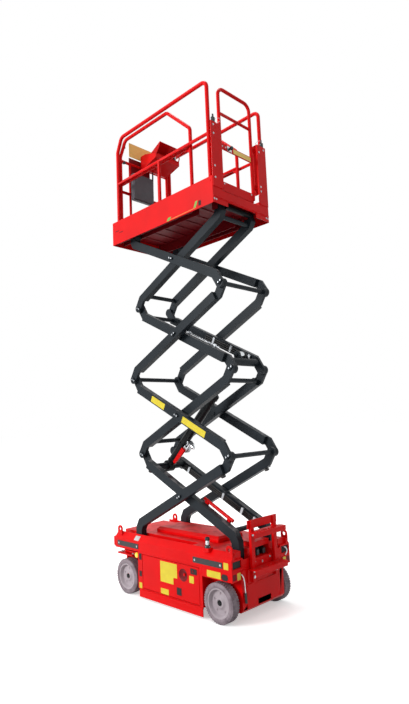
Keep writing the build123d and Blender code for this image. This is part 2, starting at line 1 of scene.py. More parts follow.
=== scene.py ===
# %% [markdown]
# # A raised slab scissor lift
# The frame that comes in is the steel itself: arms, chassis, platform and wheels at real size.
# This lesson gives each of those pieces its rolled edges and its paint, then adds what is
# fitted last in the factory: bolts, labels, tyre lugs, the lift cylinder's valve, the operator's
# controls and the gate's latch. Everything is in metres, with +X at the ladder end.

# %% Load the frame
import json
from math import cos, pi, radians, sin, tan

import bmesh
import bpy
from mathutils import Matrix, Vector

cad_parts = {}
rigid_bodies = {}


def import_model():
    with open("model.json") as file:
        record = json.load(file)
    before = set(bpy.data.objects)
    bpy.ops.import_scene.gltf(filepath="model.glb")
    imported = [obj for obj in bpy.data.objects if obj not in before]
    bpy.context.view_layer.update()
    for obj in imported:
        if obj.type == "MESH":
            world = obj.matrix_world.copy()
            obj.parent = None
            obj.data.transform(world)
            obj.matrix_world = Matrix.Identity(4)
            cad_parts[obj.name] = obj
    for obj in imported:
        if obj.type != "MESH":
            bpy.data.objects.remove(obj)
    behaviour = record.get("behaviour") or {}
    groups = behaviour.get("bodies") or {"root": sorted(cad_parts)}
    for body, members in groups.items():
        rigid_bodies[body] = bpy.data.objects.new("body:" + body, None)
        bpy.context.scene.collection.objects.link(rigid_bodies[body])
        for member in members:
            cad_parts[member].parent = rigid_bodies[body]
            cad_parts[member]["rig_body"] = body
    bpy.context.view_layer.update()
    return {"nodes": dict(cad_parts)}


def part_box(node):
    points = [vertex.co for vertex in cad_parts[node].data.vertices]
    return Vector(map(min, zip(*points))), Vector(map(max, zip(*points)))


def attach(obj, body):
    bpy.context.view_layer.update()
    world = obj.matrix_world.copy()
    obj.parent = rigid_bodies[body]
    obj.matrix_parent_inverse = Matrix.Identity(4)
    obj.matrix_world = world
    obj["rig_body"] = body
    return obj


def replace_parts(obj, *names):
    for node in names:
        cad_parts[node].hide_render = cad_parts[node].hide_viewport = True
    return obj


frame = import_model()

# %% [markdown]
# ## Camera
# The picture is taken from off the ladder corner, a little below the middle of the machine,
# looking slightly up. The place, the three turns and the lens were solved from
# points that can be named on the machine, so they are plain values here. The lens is worked out
# for a frame 704 pixels high, because Blender measures its sensor along the longer side.

# %% Camera
camera_place = Vector((3.581, -3.476, 1.608))
camera_yaw = radians(44.605)
camera_pitch = radians(7.173)
camera_roll = radians(-2.386)
focal_pixels = 524.066
photo_height = 704
sensor_width = 36.0

forward = Vector((-sin(camera_yaw) * cos(camera_pitch), cos(camera_yaw) * cos(camera_pitch),
                  sin(camera_pitch)))
level_right = Vector((cos(camera_yaw), sin(camera_yaw), 0))
level_up = level_right.cross(forward)
right = level_right * cos(camera_roll) + level_up * sin(camera_roll)
up = -level_right * sin(camera_roll) + level_up * cos(camera_roll)

camera_data = bpy.data.cameras.new("camera")
camera_data.sensor_width = sensor_width
camera_data.lens = focal_pixels / photo_height * sensor_width
camera_data.clip_end = 200
camera = bpy.data.objects.new("camera", camera_data)
bpy.context.scene.collection.objects.link(camera)
turn = Matrix((right, up, -forward)).transposed().to_4x4()
camera.matrix_world = Matrix.Translation(camera_place) @ turn
bpy.context.scene.camera = camera
bpy.context.scene.view_settings.view_transform = "Standard"
print("lens", round(camera_data.lens, 2), "mm")

# %% [markdown]
# ## Two small tools for finishes
# A finish is a handful of shader nodes. Hex codes are how a paint card is read off a screen, so
# one function turns them into the linear values that a shader needs, and another adds one node
# with its settings and its links at once.

# %% Colours and nodes
def linear(code):
    """The linear colour of an sRGB hex code."""
    channels = []
    for i in (1, 3, 5):
        value = int(code[i:i + 2], 16) / 255
        channels.append(value / 12.92 if value <= 0.04045 else ((value + 0.055) / 1.055) ** 2.4)
    return (*channels, 1.0)


def add_node(tree, kind, sockets=None, **settings):
    """One node: settings are its properties, sockets are its inputs, given a value or a link."""
    new = tree.nodes.new(kind)
    for key, value in settings.items():
        setattr(new, key, value)
    for key, value in (sockets or {}).items():
        if isinstance(value, bpy.types.NodeSocket):
            tree.links.new(value, new.inputs[key])
        else:
            new.inputs[key].default_value = value
    return new


def remap(tree, value, from_low=0.0, from_high=1.0, low=0.0, high=1.0):
    """A value carried from one range to another."""
    return add_node(tree, "ShaderNodeMapRange",
                    {"Value": value, "From Min": from_low, "From Max": from_high, "To Min": low,
                     "To Max": high}).outputs["Result"]


def combine(tree, operation, first, second):
    return add_node(tree, "ShaderNodeMath", {0: first, 1: second}, operation=operation).outputs[0]


def mixed(tree, share, first, second):
    return add_node(tree, "ShaderNodeMix", {"Factor": share, "A": first, "B": second},
                    data_type="RGBA").outputs["Result"]


def emptied(owner):
    """The node tree of a material or a world, with nothing in it."""
    owner.use_nodes = True
    owner.node_tree.nodes.clear()
    return owner.node_tree


def blank_finish(name):
    """An empty material with its node tree and the object's own coordinates."""
    finish = bpy.data.materials.new(name)
    tree = emptied(finish)
    return finish, tree, add_node(tree, "ShaderNodeTexCoord").outputs["Object"]


def close_finish(finish, tree, **sockets):
    """Ends a tree in one Principled shader, whose sockets are set directly."""
    named = {key.replace("_", " "): value for key, value in sockets.items()}
    shader = add_node(tree, "ShaderNodeBsdfPrincipled", named)
    add_node(tree, "ShaderNodeOutputMaterial", {"Surface": shader.outputs[0]})
    return finish


def speckle(tree, place, size, detail=3.0):
    """Noise whose grains are about size metres across."""
    return add_node(tree, "ShaderNodeTexNoise",
                    {"Vector": place, "Scale": 1 / size, "Detail": detail}).outputs["Fac"]


def ramp(tree, value, low, high, low_code, high_code):
    """Blends two colours as value goes from low to high."""
    return mixed(tree, remap(tree, value, low, high), linear(low_code), linear(high_code))


def grain(tree, place, size, detail, strength, distance):
    """A fine surface relief from noise."""
    return add_node(tree, "ShaderNodeBump", {"Height": speckle(tree, place, size, detail),
                                             "Strength": strength, "Distance": distance}).outputs[0]


# %% [markdown]
# ## Powder coat
# The red steel is powder coated: sprayed dry, then baked, which leaves a glossy skin with a faint
# orange peel. Two noises do it, one wide and weak for the uneven build-up of powder and one fine
# for the peel. Faces that look up hold dust and boot marks, so the normal's Z lets a dull layer of
# another colour through there. On the slate arms that layer is pale: partly dust and wear, and
# partly a painted highlight for the light their upper faces catch. The peel is about 2 mm on the
# real sheet and is drawn at 6 mm so that it shows.

# %% Powder coat
def powder_coat(name, code, shade_code, dust_and_sheen_code, dust_and_sheen_share=0.5, gloss=0.4):
    finish, tree, place = blank_finish(name)
    paint = ramp(tree, speckle(tree, place, 0.35), 0.35, 0.7, code, shade_code)
    normal = add_node(tree, "ShaderNodeNewGeometry").outputs["Normal"]
    upward = add_node(tree, "ShaderNodeSeparateXYZ", {0: normal}).outputs["Z"]
    patches = remap(tree, speckle(tree, place, 0.09, 6.0), 0.48, 0.72)
    # The up-facing mask: dirt on the red, and where its colour is pale, as on the arms, also a painted
    # highlight.
    dust_and_sheen_mask = combine(tree, "MULTIPLY", patches, remap(tree, upward, 0.6, 1.0, 0.0, dust_and_sheen_share))
    return close_finish(finish, tree, Base_Color=mixed(tree, dust_and_sheen_mask, paint, linear(dust_and_sheen_code)),
                        Roughness=remap(tree, dust_and_sheen_mask, low=gloss, high=0.65),
                        Normal=grain(tree, place, 0.006, 2.0, 0.05, 0.001), Specular_IOR_Level=0.14)


red_coat = powder_coat("red_powder_coat", "#e60206", "#d60105", "#7d2b26")
# Painted shade: a darker copy of the red, for undersides, floors, holes and recesses.
painted_shade_red_coat = powder_coat("painted_shade_red_powder_coat", "#7c0d16", "#650a12", "#4d2226", gloss=0.45)
# The arms' pale up-facing layer is partly dust and wear and partly a painted highlight.
arm_coat = powder_coat("slate_arm_powder_coat", "#20272d", "#191f24", "#b3afb1", dust_and_sheen_share=0.8, gloss=0.4)
black_coat = powder_coat("black_powder_coat", "#15171a", "#0e1012", "#3c3a3a", gloss=0.4)
rim_coat = powder_coat("pale_rim_powder_coat", "#bcb1b7", "#a89da3", "#7d7474", gloss=0.4)

# %% [markdown]
# ## Rubber, plastic, film and bare metal
# The tyres are non-marking rubber, which is pale grey and picks up brown floor dust, most of all
# low down and between the lugs; here it is drawn in random patches only. The other finishes are
# shorter: a moulded black plastic with a spark-eroded grain, a printed film with nothing printed
# on it, zinc plate, ground chrome and a clear amber lens.

# %% Tyre rubber
def tyre_rubber():
    """Vulcanised pale rubber: dull, with floor dirt in patches a few centimetres wide."""
    finish, tree, place = blank_finish("non_marking_rubber")
    rubber = ramp(tree, speckle(tree, place, 0.05, 5.0), 0.4, 0.68, "#978a91", "#75686f")
    return close_finish(finish, tree, Base_Color=rubber, Roughness=0.8,
                        Normal=grain(tree, place, 0.003, 4.0, 0.25, 0.0008), Specular_IOR_Level=0.3)


def moulded_plastic(name, code, shade_code, rough=0.5):
    """ABS from a spark-eroded mould: a fine even grain under a soft shine."""
    finish, tree, place = blank_finish(name)
    tone = ramp(tree, speckle(tree, place, 0.08), 0.3, 0.7, code, shade_code)
    return close_finish(finish, tree, Base_Color=tone, Roughness=rough,
                        Normal=grain(tree, place, 0.0025, 2.0, 0.15, 0.0005))


def film(name, code, shade_code):
    """Self-adhesive vinyl film with a faint unevenness from its glue."""
    finish, tree, place = blank_finish(name)
    tone = ramp(tree, speckle(tree, place, 0.05, 1.0), 0.3, 0.75, code, shade_code)
    return close_finish(finish, tree, Base_Color=tone, Roughness=0.35,
                        Normal=grain(tree, place, 0.012, 3.0, 0.1, 0.0006))


def bare_metal(name, code, shade_code, rough, grain_size):
    """Plated or machined steel: metallic, with fine uneven roughness."""
    finish, tree, place = blank_finish(name)
    tone = ramp(tree, speckle(tree, place, grain_size * 6), 0.3, 0.7, code, shade_code)
    wear = remap(tree, speckle(tree, place, grain_size), low=rough - 0.08, high=rough + 0.12)
    return close_finish(finish, tree, Base_Color=tone, Roughness=wear, Metallic=1.0)


def amber_lens_finish():
    """Moulded polycarbonate over a reflector; its emission is a painted glow for the light the reflector
    sends back.
    """
    finish, tree, place = blank_finish("amber_lens")
    rings = add_node(tree, "ShaderNodeTexWave", {"Vector": place, "Scale": 60.0}, wave_type="RINGS",
                     rings_direction="Y").outputs["Fac"]
    tone = ramp(tree, rings, 0.2, 0.8, "#ffd23a", "#ffa212")
    # Painted glow: the emission lights the lens in place of the reflector's light.
    return close_finish(finish, tree, Base_Color=tone, Roughness=0.15, Emission_Color=linear("#ffb320"),
                        Emission_Strength=0.75, Coat_Weight=0.6)


grey_rubber = tyre_rubber()
black_plastic = moulded_plastic("black_abs", "#17181a", "#101113")
grey_plastic = moulded_plastic("dark_grey_abs", "#45434b", "#3b3941", rough=0.42)
black_rubber = moulded_plastic("black_hose_rubber", "#121212", "#1c1b1b", rough=0.6)
yellow_film = film("yellow_vinyl_film", "#e0cc20", "#d8c01e")
sign_film = film("sign_yellow_film", "#ffdc72", "#f5cd62")
orange_film = film("orange_vinyl_film", "#f07a16", "#e06c10")
green_film = film("green_vinyl_film", "#79b43c", "#6aa332")
grey_film = film("pale_grey_film", "#cfcaca", "#b9b2b2")
# Painted shade: near-black for the shade inside holes, slots and recesses.
painted_shade_black = moulded_plastic("painted_shade_black", "#0a0808", "#120c0c", rough=0.8)
zinc = bare_metal("zinc_plated_steel", "#c9ccd0", "#a9adb2", 0.35, 0.002)
chrome = bare_metal("ground_chrome", "#d9dde0", "#cfd3d6", 0.12, 0.004)
machined = bare_metal("machined_aluminium", "#d0d2d4", "#b4b8bb", 0.3, 0.003)
amber = amber_lens_finish()
print(len(bpy.data.materials), "finishes")

# %% [markdown]
# ## Placing a piece
# Each fitted piece is a mesh with its place in its vertices. It rides on one steel body, so it
# goes wherever that body goes, and it carries its finish. Smooth shading with sharp edges above
# an angle keeps tubes round and sheet flat.

# %% Placing pieces
sharp_angle = radians(38)


def settle(obj, body, finish):
    """Links a finished object, gives it its finish and sets it on its body."""
    if obj.name not in bpy.context.scene.collection.objects:
        bpy.context.scene.collection.objects.link(obj)
    obj.data.materials.clear()
    obj.data.materials.append(finish)
    obj.data.shade_smooth()
    obj.data.set_sharp_from_angle(angle=sharp_angle)
    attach(obj, body)
    return obj


def from_bmesh(name, shape, body, finish):
    mesh = bpy.data.meshes.new(name)
    bmesh.ops.recalc_face_normals(shape, faces=shape.faces)
    shape.to_mesh(mesh)
    shape.free()
    return settle(bpy.data.objects.new(name, mesh), body, finish)


def soften(obj, width, segments=3):
    """Rolled or ground edges: a bevel on what is sharp, with the flats kept flat."""
    bevel = obj.modifiers.new("rolled_edge", "BEVEL")
    bevel.width = width
    bevel.segments = segments
    bevel.limit_method = "ANGLE"
    bevel.angle_limit = radians(40)
    weigh = obj.modifiers.new("flat_faces", "WEIGHTED_NORMAL")
    weigh.keep_sharp = False
    return obj


# %% [markdown]
# ## The steel pieces
# A steel sheet never has a knife edge: laser-cut edges are ground, box tube has rounded corners.
# The frame's meshes have sharp edges, so each is copied, its loose triangles are merged, flat
# neighbours are joined into whole faces, and a bevel runs along what is still sharp. The arms
# are cold-formed box tube with a corner radius of 8 mm, and sheet edges get 1.5 to 6 mm.

# %% Dressed copies of the steelwork
def dressed(node, finish, width, coat=0.0):
    """A copy of a steel piece with its edges rounded, shown in its place."""
    shape = bmesh.new()
    shape.from_mesh(frame["nodes"][node].data)
    bmesh.ops.remove_doubles(shape, verts=shape.verts, dist=0.00002)
    bmesh.ops.dissolve_limit(shape, angle_limit=radians(0.5), verts=shape.verts, edges=shape.edges)
    shape.normal_update()
    for vert in shape.verts:
        vert.co += vert.normal * coat
    mesh = bpy.data.meshes.new(node + "_dressed")
    shape.to_mesh(mesh)
    shape.free()
    obj = settle(bpy.data.objects.new(node + "_dressed", mesh), frame["nodes"][node]["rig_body"],
                 finish)
    if width:
        soften(obj, width)
    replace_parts(obj, node)
    return obj


sides = {"near": -1, "far": 1}
rail_coat = 0.002
steelwork = [
    (red_coat, 0.004, ["chassis_hull", "upper_body", "front_frame", "rear_box", "platform_skirts"]),
    (red_coat, 0.006, ["deck_hood"]),
    (red_coat, 0.002, ["steer_brackets", "lifting_eyes", "base_pivot_brackets", "entry_ladder",
                       "entry_posts", "tray_door_near", "tray_door_far", "pothole_guard_near",
                       "pothole_guard_far"]),
    (red_coat, 0.0, ["main_rails_near", "main_rails_far", "entry_gate", "deck_rails",
                     "maintenance_prop"]),
    (red_coat, 0.002, ["steer_knuckle_near", "steer_knuckle_far"]),
    # Painted shade: the floors and slide rails, seen from below, take the darker copy of the red.
    (painted_shade_red_coat, 0.0015, ["platform_floor", "deck_floor", "platform_slide_rails"]),
    (black_coat, 0.002, ["cylinder_barrel"]),
    (black_plastic, 0.004, ["battery_block_near", "battery_block_far", "rub_strips"]),
    (arm_coat, 0.008, [f"arm_{n}_{p}" for n in (1, 2, 3, 4) for p in ("outer", "inner")]),
    (chrome, 0.0, ["cylinder_rod"]),
    (machined, 0.003, ["valve_block"]),
]
for finish, width, nodes in steelwork:
    for node in nodes:
        dressed(node, finish, width, rail_coat if "rails_" in node or node == "deck_rails" else 0.0)
print(sum(len(nodes) for finish, width, nodes in steelwork), "steel pieces dressed")

# %% [markdown]
# ## Shapes used by the small fittings
# Four shapes cover most fittings: a box with ground edges, a round bar between two points, a
# turned part made by spinning a profile, and a thin plate cut to an outline with rounded
# corners. Each is built straight in its final place.

# %% Boxes, bars, turned parts and plates
def boxes(name, spans, body, finish, edge=0.002):
    """Boxes given by (x, y, z) ranges, joined in one piece."""
    shape = bmesh.new()
    for xs, ys, zs in spans:
        centre = Vector((sum(xs), sum(ys), sum(zs))) / 2
        size = Vector((abs(xs[1] - xs[0]), abs(ys[1] - ys[0]), abs(zs[1] - zs[0])))
        bmesh.ops.create_cube(shape, size=1, matrix=Matrix.Translation(centre) @ Matrix.Diagonal((*size, 1)))
    obj = from_bmesh(name, shape, body, finish)
    return soften(obj, edge, 2) if edge else obj


def turned(profile, start, along, steps=24):
    """A bmesh spun from (distance along, radius) points about a line."""
    along = Vector(along).normalized()
    side = along.orthogonal().normalized()
    other = along.cross(side)
    shape = bmesh.new()
    rings = []
    for distance, radius in profile:
        middle = Vector(start) + along * distance
        if radius < 1e-6:
            rings.append([shape.verts.new(middle)])
            continue
        rings.append([shape.verts.new(middle + (side * cos(a) + other * sin(a)) * radius)
                      for a in (2 * pi * i / steps for i in range(steps))])
    for first, second in zip(rings, rings[1:]):
        for i in range(steps):
            corners = [first[i % len(first)], first[(i + 1) % len(first)],
                       second[(i + 1) % len(second)], second[i % len(second)]]
            unique = list(dict.fromkeys(corners))
            if len(unique) > 2:
                shape.faces.new(unique)
    return shape


def merged(shapes):
    """Several bmeshes as one."""
    whole = bmesh.new()
    for shape in shapes:
        part = bpy.data.meshes.new("part")
        shape.to_mesh(part)
        shape.free()
        whole.from_mesh(part)
        bpy.data.meshes.remove(part)
    return whole


def bar(start, end, radius, steps=16):
    """A round bar with broken edges between two points."""
    start, end = Vector(start), Vector(end)
    length = (end - start).length
    edge = min(radius * 0.25, length * 0.2)
    profile = [(0, 0), (0, radius - edge), (edge, radius), (length - edge, radius),
               (length, radius - edge), (length, 0)]
    return turned(profile, start, end - start, steps)


def spun(name, profile, start, along, body, finish, steps=24):
    """A turned part, placed on its body."""
    return from_bmesh(name, turned(profile, start, along, steps), body, finish)


def rod(name, start, end, radius, body, finish):
    return from_bmesh(name, bar(start, end, radius), body, finish)


def rounded_outline(points, radius, steps=5):
    """A closed outline whose corners are arcs."""
    result = []
    count = len(points)
    for i, point in enumerate(points):
        corner = Vector(point)
        before = (Vector(points[i - 1]) - corner).normalized()
        after = (Vector(points[(i + 1) % count]) - corner).normalized()
        half_angle = before.angle(after) / 2
        reach = radius / tan(half_angle)
        centre = corner + (before + after).normalized() * radius / sin(half_angle)
        first = corner + before * reach - centre
        turn_angle = first.angle_signed(corner + after * reach - centre)
        for k in range(steps + 1):
            angle = -turn_angle * k / steps
            result.append(centre + Vector((first.x * cos(angle) - first.y * sin(angle),
                                           first.x * sin(angle) + first.y * cos(angle))))
    return result


def plate_shape(outline, origin, across, upward, thickness):
    """An outline in (across, upward) coordinates, raised by thickness off its plane."""
    across, upward = Vector(across).normalized(), Vector(upward).normalized()
    outward = across.cross(upward)
    shape = bmesh.new()
    rings = [[shape.verts.new(Vector(origin) + across * p[0] + upward * p[1] + outward * depth)
              for p in outline] for depth in (0, thickness)]
    shape.faces.new(rings[0][::-1])
    shape.faces.new(rings[1])
    for i in range(len(outline)):
        j = (i + 1) % len(outline)
        shape.faces.new((rings[0][i], rings[0][j], rings[1][j], rings[1][i]))
    return shape


def plate(name, outline, origin, across, upward, thickness, body, finish, corner=0.004):
    shaped = rounded_outline(outline, corner) if corner else outline
    return from_bmesh(name, plate_shape(shaped, origin, across, upward, thickness), body, finish)


def end_plate(name, outline, x, thickness, body, finish, corner=0.004):
    """A plate that faces the ladder end, with its outline in Y and Z."""
    return plate(name, outline, (x, 0, 0), (0, 1, 0), (0, 0, 1), thickness, body, finish, corner)


def profile_shape(outline, y, thickness):
    """A sheet standing along X, with its outline in X and Z."""
    return plate_shape(outline, (0, y, 0), (1, 0, 0), (0, 0, 1), thickness)


def rectangle(x0, x1, y0, y1):
    return [(x0, y0), (x1, y0), (x1, y1), (x0, y1)]


sky = (0, 0, 1)
ladder_end = (1, 0, 0)


# %% [markdown]
# ## Bolts by Geometry Nodes
# A machine like this has many bolts. Rather than a mesh for each, a tree puts a hex head on a
# washer at every point of a small cloud, turned to the direction stored with the point. Tyre
# lugs and tread bars repeat in the same way, so one function builds all three trees. Each ends
# in Realize Instances and Set Material, and its result is kept as a plain mesh on one body.

# %% The bolt tree
def scatter_tree(name, settings, piece, turn_to):
    """Puts a copy of a piece at every point, turned to the direction stored with the point."""
    tree = bpy.data.node_groups.new(name, "GeometryNodeTree")
    for label, kind in {"Points": "Geometry", **settings, "Finish": "Material"}.items():
        tree.interface.new_socket(label, in_out="INPUT", socket_type="NodeSocket" + kind)
    tree.interface.new_socket("Pieces", in_out="OUTPUT", socket_type="NodeSocketGeometry")
    given = add_node(tree, "NodeGroupInput").outputs
    facing = add_node(tree, "GeometryNodeInputNamedAttribute", {"Name": "facing"},
                      data_type="FLOAT_VECTOR").outputs["Attribute"]
    placed = add_node(tree, "GeometryNodeInstanceOnPoints",
                      {"Points": given["Points"], "Instance": piece(tree, given),
                       "Rotation": turn_to(tree, facing)}).outputs[0]
    real = add_node(tree, "GeometryNodeRealizeInstances", {"Geometry": placed}).outputs[0]
    done = add_node(tree, "GeometryNodeSetMaterial", {"Geometry": real, "Material": given["Finish"]})
    add_node(tree, "NodeGroupOutput", {"Pieces": done.outputs[0]})
    return tree


def aligned(tree, sockets, axis, **settings):
    return add_node(tree, "FunctionNodeAlignRotationToVector", sockets, axis=axis, **settings).outputs[0]


def grown(name, tree, places, facings, settings, body, finish):
    """Runs a tree on points with their facings and keeps the result as a plain mesh on a body."""
    cloud = bpy.data.meshes.new(name + "_cloud")
    cloud.from_pydata([tuple(place) for place in places], [], [])
    stored = cloud.attributes.new("facing", "FLOAT_VECTOR", "POINT")
    for value, facing in zip(stored.data, facings):
        value.vector = facing
    seed = bpy.data.objects.new(name + "_points", cloud)
    bpy.context.scene.collection.objects.link(seed)
    modifier = seed.modifiers.new("grow", "NODES")
    modifier.node_group = tree
    sockets = {item.name: item.identifier for item in tree.interface.items_tree
               if item.in_out == "INPUT"}
    for label, value in {**settings, "Finish": finish}.items():
        modifier[sockets[label]] = value
    graph = bpy.context.evaluated_depsgraph_get()
    mesh = bpy.data.meshes.new_from_object(seed.evaluated_get(graph))
    mesh.name = name
    bpy.data.objects.remove(seed)
    return settle(bpy.data.objects.new(name, mesh), body, finish)


def bolt_head(tree, given):
    """A head with given sides on a washer half as high and nearly half as wide again."""
    radius, height = given["Head Radius"], given["Head Height"]
    head = add_node(tree, "GeometryNodeMeshCylinder",
                    {"Vertices": given["Sides"], "Radius": radius, "Depth": height})
    washer_height = combine(tree, "MULTIPLY", height, 0.5)
    washer = add_node(tree, "GeometryNodeMeshCylinder",
                      {"Vertices": 14, "Radius": combine(tree, "MULTIPLY", radius, 1.45),
                       "Depth": washer_height})
    lift = add_node(tree, "ShaderNodeCombineXYZ", {"Z": washer_height}).outputs[0]
    raised = add_node(tree, "GeometryNodeTransform",
                      {"Geometry": head.outputs["Mesh"], "Translation": lift}).outputs[0]
    fastener = add_node(tree, "GeometryNodeJoinGeometry")
    tree.links.new(raised, fastener.inputs[0])
    tree.links.new(washer.outputs["Mesh"], fastener.inputs[0])
    return fastener.outputs[0]


heads = scatter_tree("bolt_heads", {"Head Radius": "Float", "Head Height": "Float", "Sides": "Int"},
                     bolt_head, lambda tree, facing: aligned(tree, {"Vector": facing}, "Z"))


def bolts(name, places, facings, body, finish=zinc, radius=0.006, height=0.004, sides_count=6):
    """Bolt heads on one body, with one facing for all or a list of them."""
    if not isinstance(facings, list):
        facings = [facings] * len(places)
    settings = {"Head Radius": radius, "Head Height": height, "Sides": sides_count}
    return grown(name, heads, places, facings, settings, body, finish)


# %% [markdown]
# ## Wheels
# Each tyre is a solid rubber band moulded with shallow shoulder lugs, on a dished steel disc.
# The band and the disc are turned parts, so their profiles are spun about the axle. The lugs
# come from the same kind of tree: three rings of points round the axle with a lug on each, and
# the middle ring half a step round from the outer two.

# %% Tyres, rims and hubs
wheel_radius = 0.157
rim_radius = 0.116
lug_height = 0.0034
lug_count = 46


def lug_block(tree, given):
    return add_node(tree, "GeometryNodeMeshCube", {"Size": given["Lug Size"]}).outputs["Mesh"]


def lug_turn(tree, facing):
    """Along the axle first, then outward about it."""
    axle = aligned(tree, {"Vector": (0, 1, 0)}, "Y")
    return aligned(tree, {"Rotation": axle, "Vector": facing}, "Z", pivot_axis="Y")


lugs = scatter_tree("shoulder_lugs", {"Lug Size": "Vector"}, lug_block, lug_turn)


def tyre(end, name, side):
    """The band and its lugs, in place of the plain tyre."""
    node = f"tyre_{end}_{name}"
    body = f"wheel_{end}_{name}"
    low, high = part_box(node)
    axle = Vector(((low.x + high.x) / 2, 0, (low.z + high.z) / 2))
    outer_y = low.y if side < 0 else high.y
    inner_y = high.y if side < 0 else low.y
    width = abs(outer_y - inner_y)
    tread = wheel_radius - lug_height
    profile = [(0.004, rim_radius + 0.0005), (0.0, rim_radius + 0.006), (0.0, tread - 0.018),
               (0.003, tread - 0.007), (0.010, tread), (width - 0.010, tread),
               (width - 0.003, tread - 0.007), (width, tread - 0.018), (width, rim_radius + 0.006),
               (width - 0.004, rim_radius + 0.0005), (0.004, rim_radius + 0.0005)]
    start = Vector((axle.x, outer_y, axle.z))
    band = turned(profile, start, (0, -side, 0), 72)
    bmesh.ops.remove_doubles(band, verts=band.verts, dist=0.00001)
    ring = from_bmesh(node + "_band", band, body, grey_rubber)
    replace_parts(ring, node)
    places, facings = [], []
    for row, inset in enumerate((0.018, width / 2, width - 0.018)):
        for i in range(lug_count):
            angle = 2 * pi * (i + 0.5 * row) / lug_count
            outward = Vector((cos(angle), 0, sin(angle)))
            places.append(axle + outward * (wheel_radius - 0.0051) + Vector((0, outer_y - side * inset, 0)))
            facings.append(outward)
    step = 2 * pi * wheel_radius / lug_count
    lug = grown(node + "_lugs", lugs, places, facings, {"Lug Size": (step * 0.6, 0.024, 0.0100)}, body,
                grey_rubber)
    soften(lug, 0.001, 1)


def rim(end, name, side):
    """The dished disc with its ring of wheel bolts and the open hub."""
    node = f"rim_{end}_{name}"
    body = f"wheel_{end}_{name}"
    low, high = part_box(node)
    centre = Vector(((low.x + high.x) / 2, low.y if side < 0 else high.y, (low.z + high.z) / 2))
    inward = Vector((0, -side, 0))
    depth = abs(high.y - low.y)
    profile = [(0.0, rim_radius - 0.0005), (0.0, rim_radius - 0.010), (0.006, rim_radius - 0.016),
               (0.022, rim_radius - 0.018), (0.030, rim_radius - 0.026), (0.031, 0.060),
               (0.028, 0.048), (0.018, 0.040), (0.016, 0.036), (0.016, 0.026), (0.020, 0.0222),
               (depth, 0.0222), (depth, 0.040), (depth - 0.018, 0.045), (depth - 0.020, rim_radius - 0.020),
               (depth, rim_radius - 0.012), (depth, rim_radius - 0.0005), (0.0, rim_radius - 0.0005)]
    disc = turned(profile, centre, inward, 64)
    bmesh.ops.remove_doubles(disc, verts=disc.verts, dist=0.00001)
    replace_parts(from_bmesh(node + "_disc", disc, body, rim_coat), node)
    angles = [2 * pi * i / 5 + 0.3 for i in range(5)]
    spots = [centre + inward * 0.0305 + Vector((cos(a), 0, sin(a))) * 0.072 for a in angles]
    bolts(node + "_bolts", spots, -inward, body, rim_coat, 0.007, 0.006)
    cap = [(0.014, 0), (0.012, 0.012), (0.014, 0.0195), (0.030, 0.0212), (0.034, 0)]
    spun(node + "_hub_cap", cap, centre, inward, body, black_coat)


for name, side in sides.items():
    for end in ("front", "rear"):
        tyre(end, name, side)
        rim(end, name, side)
print("four wheels,", 3 * lug_count, "lugs each")

# %% [markdown]
# ## Chassis fittings
# The chassis sides carry blank yellow films where a machine has its notices, rubber rub strips
# with a bolt at each end, the amber side lamps, and slots and holes punched in the sheet. A
# punched hole is painted shade: a black plate set a hair above the skin with a narrow rolled lip
# round it in the darker copy of the red, which reads as depth from any side and needs no cut in
# the steel.

# %% Labels, strips and lamps
side_face_y = 0.376
film_thickness = 0.0007


def side_sheet(name, outline, side, body, finish, corner=0.004, face_y=side_face_y,
               thickness=film_thickness):
    """A thin plate on a side wall, with its outline in X and Z, mirrored for the far side."""
    if side > 0:
        outline = [(-x, z) for x, z in outline][::-1]
    return plate(name, outline, (0, side * face_y, 0), (-side, 0, 0), sky, thickness, body, finish, corner)


def side_plate(name, x0, x1, z0, z1, *rest):
    return side_sheet(name, rectangle(x0, x1, z0, z1), *rest)


def punched_hole(name, x0, x1, z0, z1, side, body, corner, face_y=side_face_y):
    """An opening in painted shade: a black plate with a narrow lip of the darker red round it."""
    lip = 0.004
    side_plate(name + "_lip", x0 - lip, x1 + lip, z0 - lip, z1 + lip, side, body, painted_shade_red_coat,
               corner + lip, face_y, 0.0012)
    side_plate(name, x0, x1, z0, z1, side, body, painted_shade_black, corner, face_y, 0.0016)


notched = [(-0.134, 0.205), (0.036, 0.205), (0.036, 0.262), (0.085, 0.262), (0.085, 0.378), (-0.134, 0.378)]
for name, side in sides.items():
    tray = f"battery_tray_{name}"
    side_sheet(f"notice_film_{name}", notched, side, tray, yellow_film)
    for tag, body, *spans in (("small", tray, 0.236, 0.290, 0.258, 0.314),
                              ("low", tray, -0.134, -0.030, 0.104, 0.150),
                              ("hull", "base", -0.437, -0.397, 0.094, 0.142),
                              ("fender", "base", 0.447, 0.598, 0.346, 0.397),
                              ("corner", "base", 0.634, 0.684, 0.429, 0.480)):
        side_plate(f"{tag}_film_{name}", *spans, side, body, yellow_film)
    punched_hole(f"fender_hole_{name}", 0.609, 0.674, 0.346, 0.388, side, "base", 0.020)
    punched_hole(f"upper_slot_{name}", -0.430, -0.399, 0.345, 0.396, side, "base", 0.002)
    punched_hole(f"lower_slot_{name}", -0.430, -0.399, 0.200, 0.242, side, "base", 0.002)
    ends = [(x, side * 0.3795, 0.453) for x in (-0.738, -0.462, 0.310, 0.600)]
    bolts(f"strip_bolts_{name}", ends, (0, side, 0), "base", height=0.0028)

band_slope = (0.552 - 0.500, 0.376 - 0.330)
for name, side in sides.items():
    across = Vector((-side, 0, 0))
    upward = Vector((0, -side * band_slope[1], band_slope[0]))
    outline = rectangle(-0.034, 0.034, 0.004, 0.050)
    plate(f"band_plate_{name}", outline, (-0.477, side * side_face_y, 0.500), across, upward, 0.0012,
          "base", grey_film)


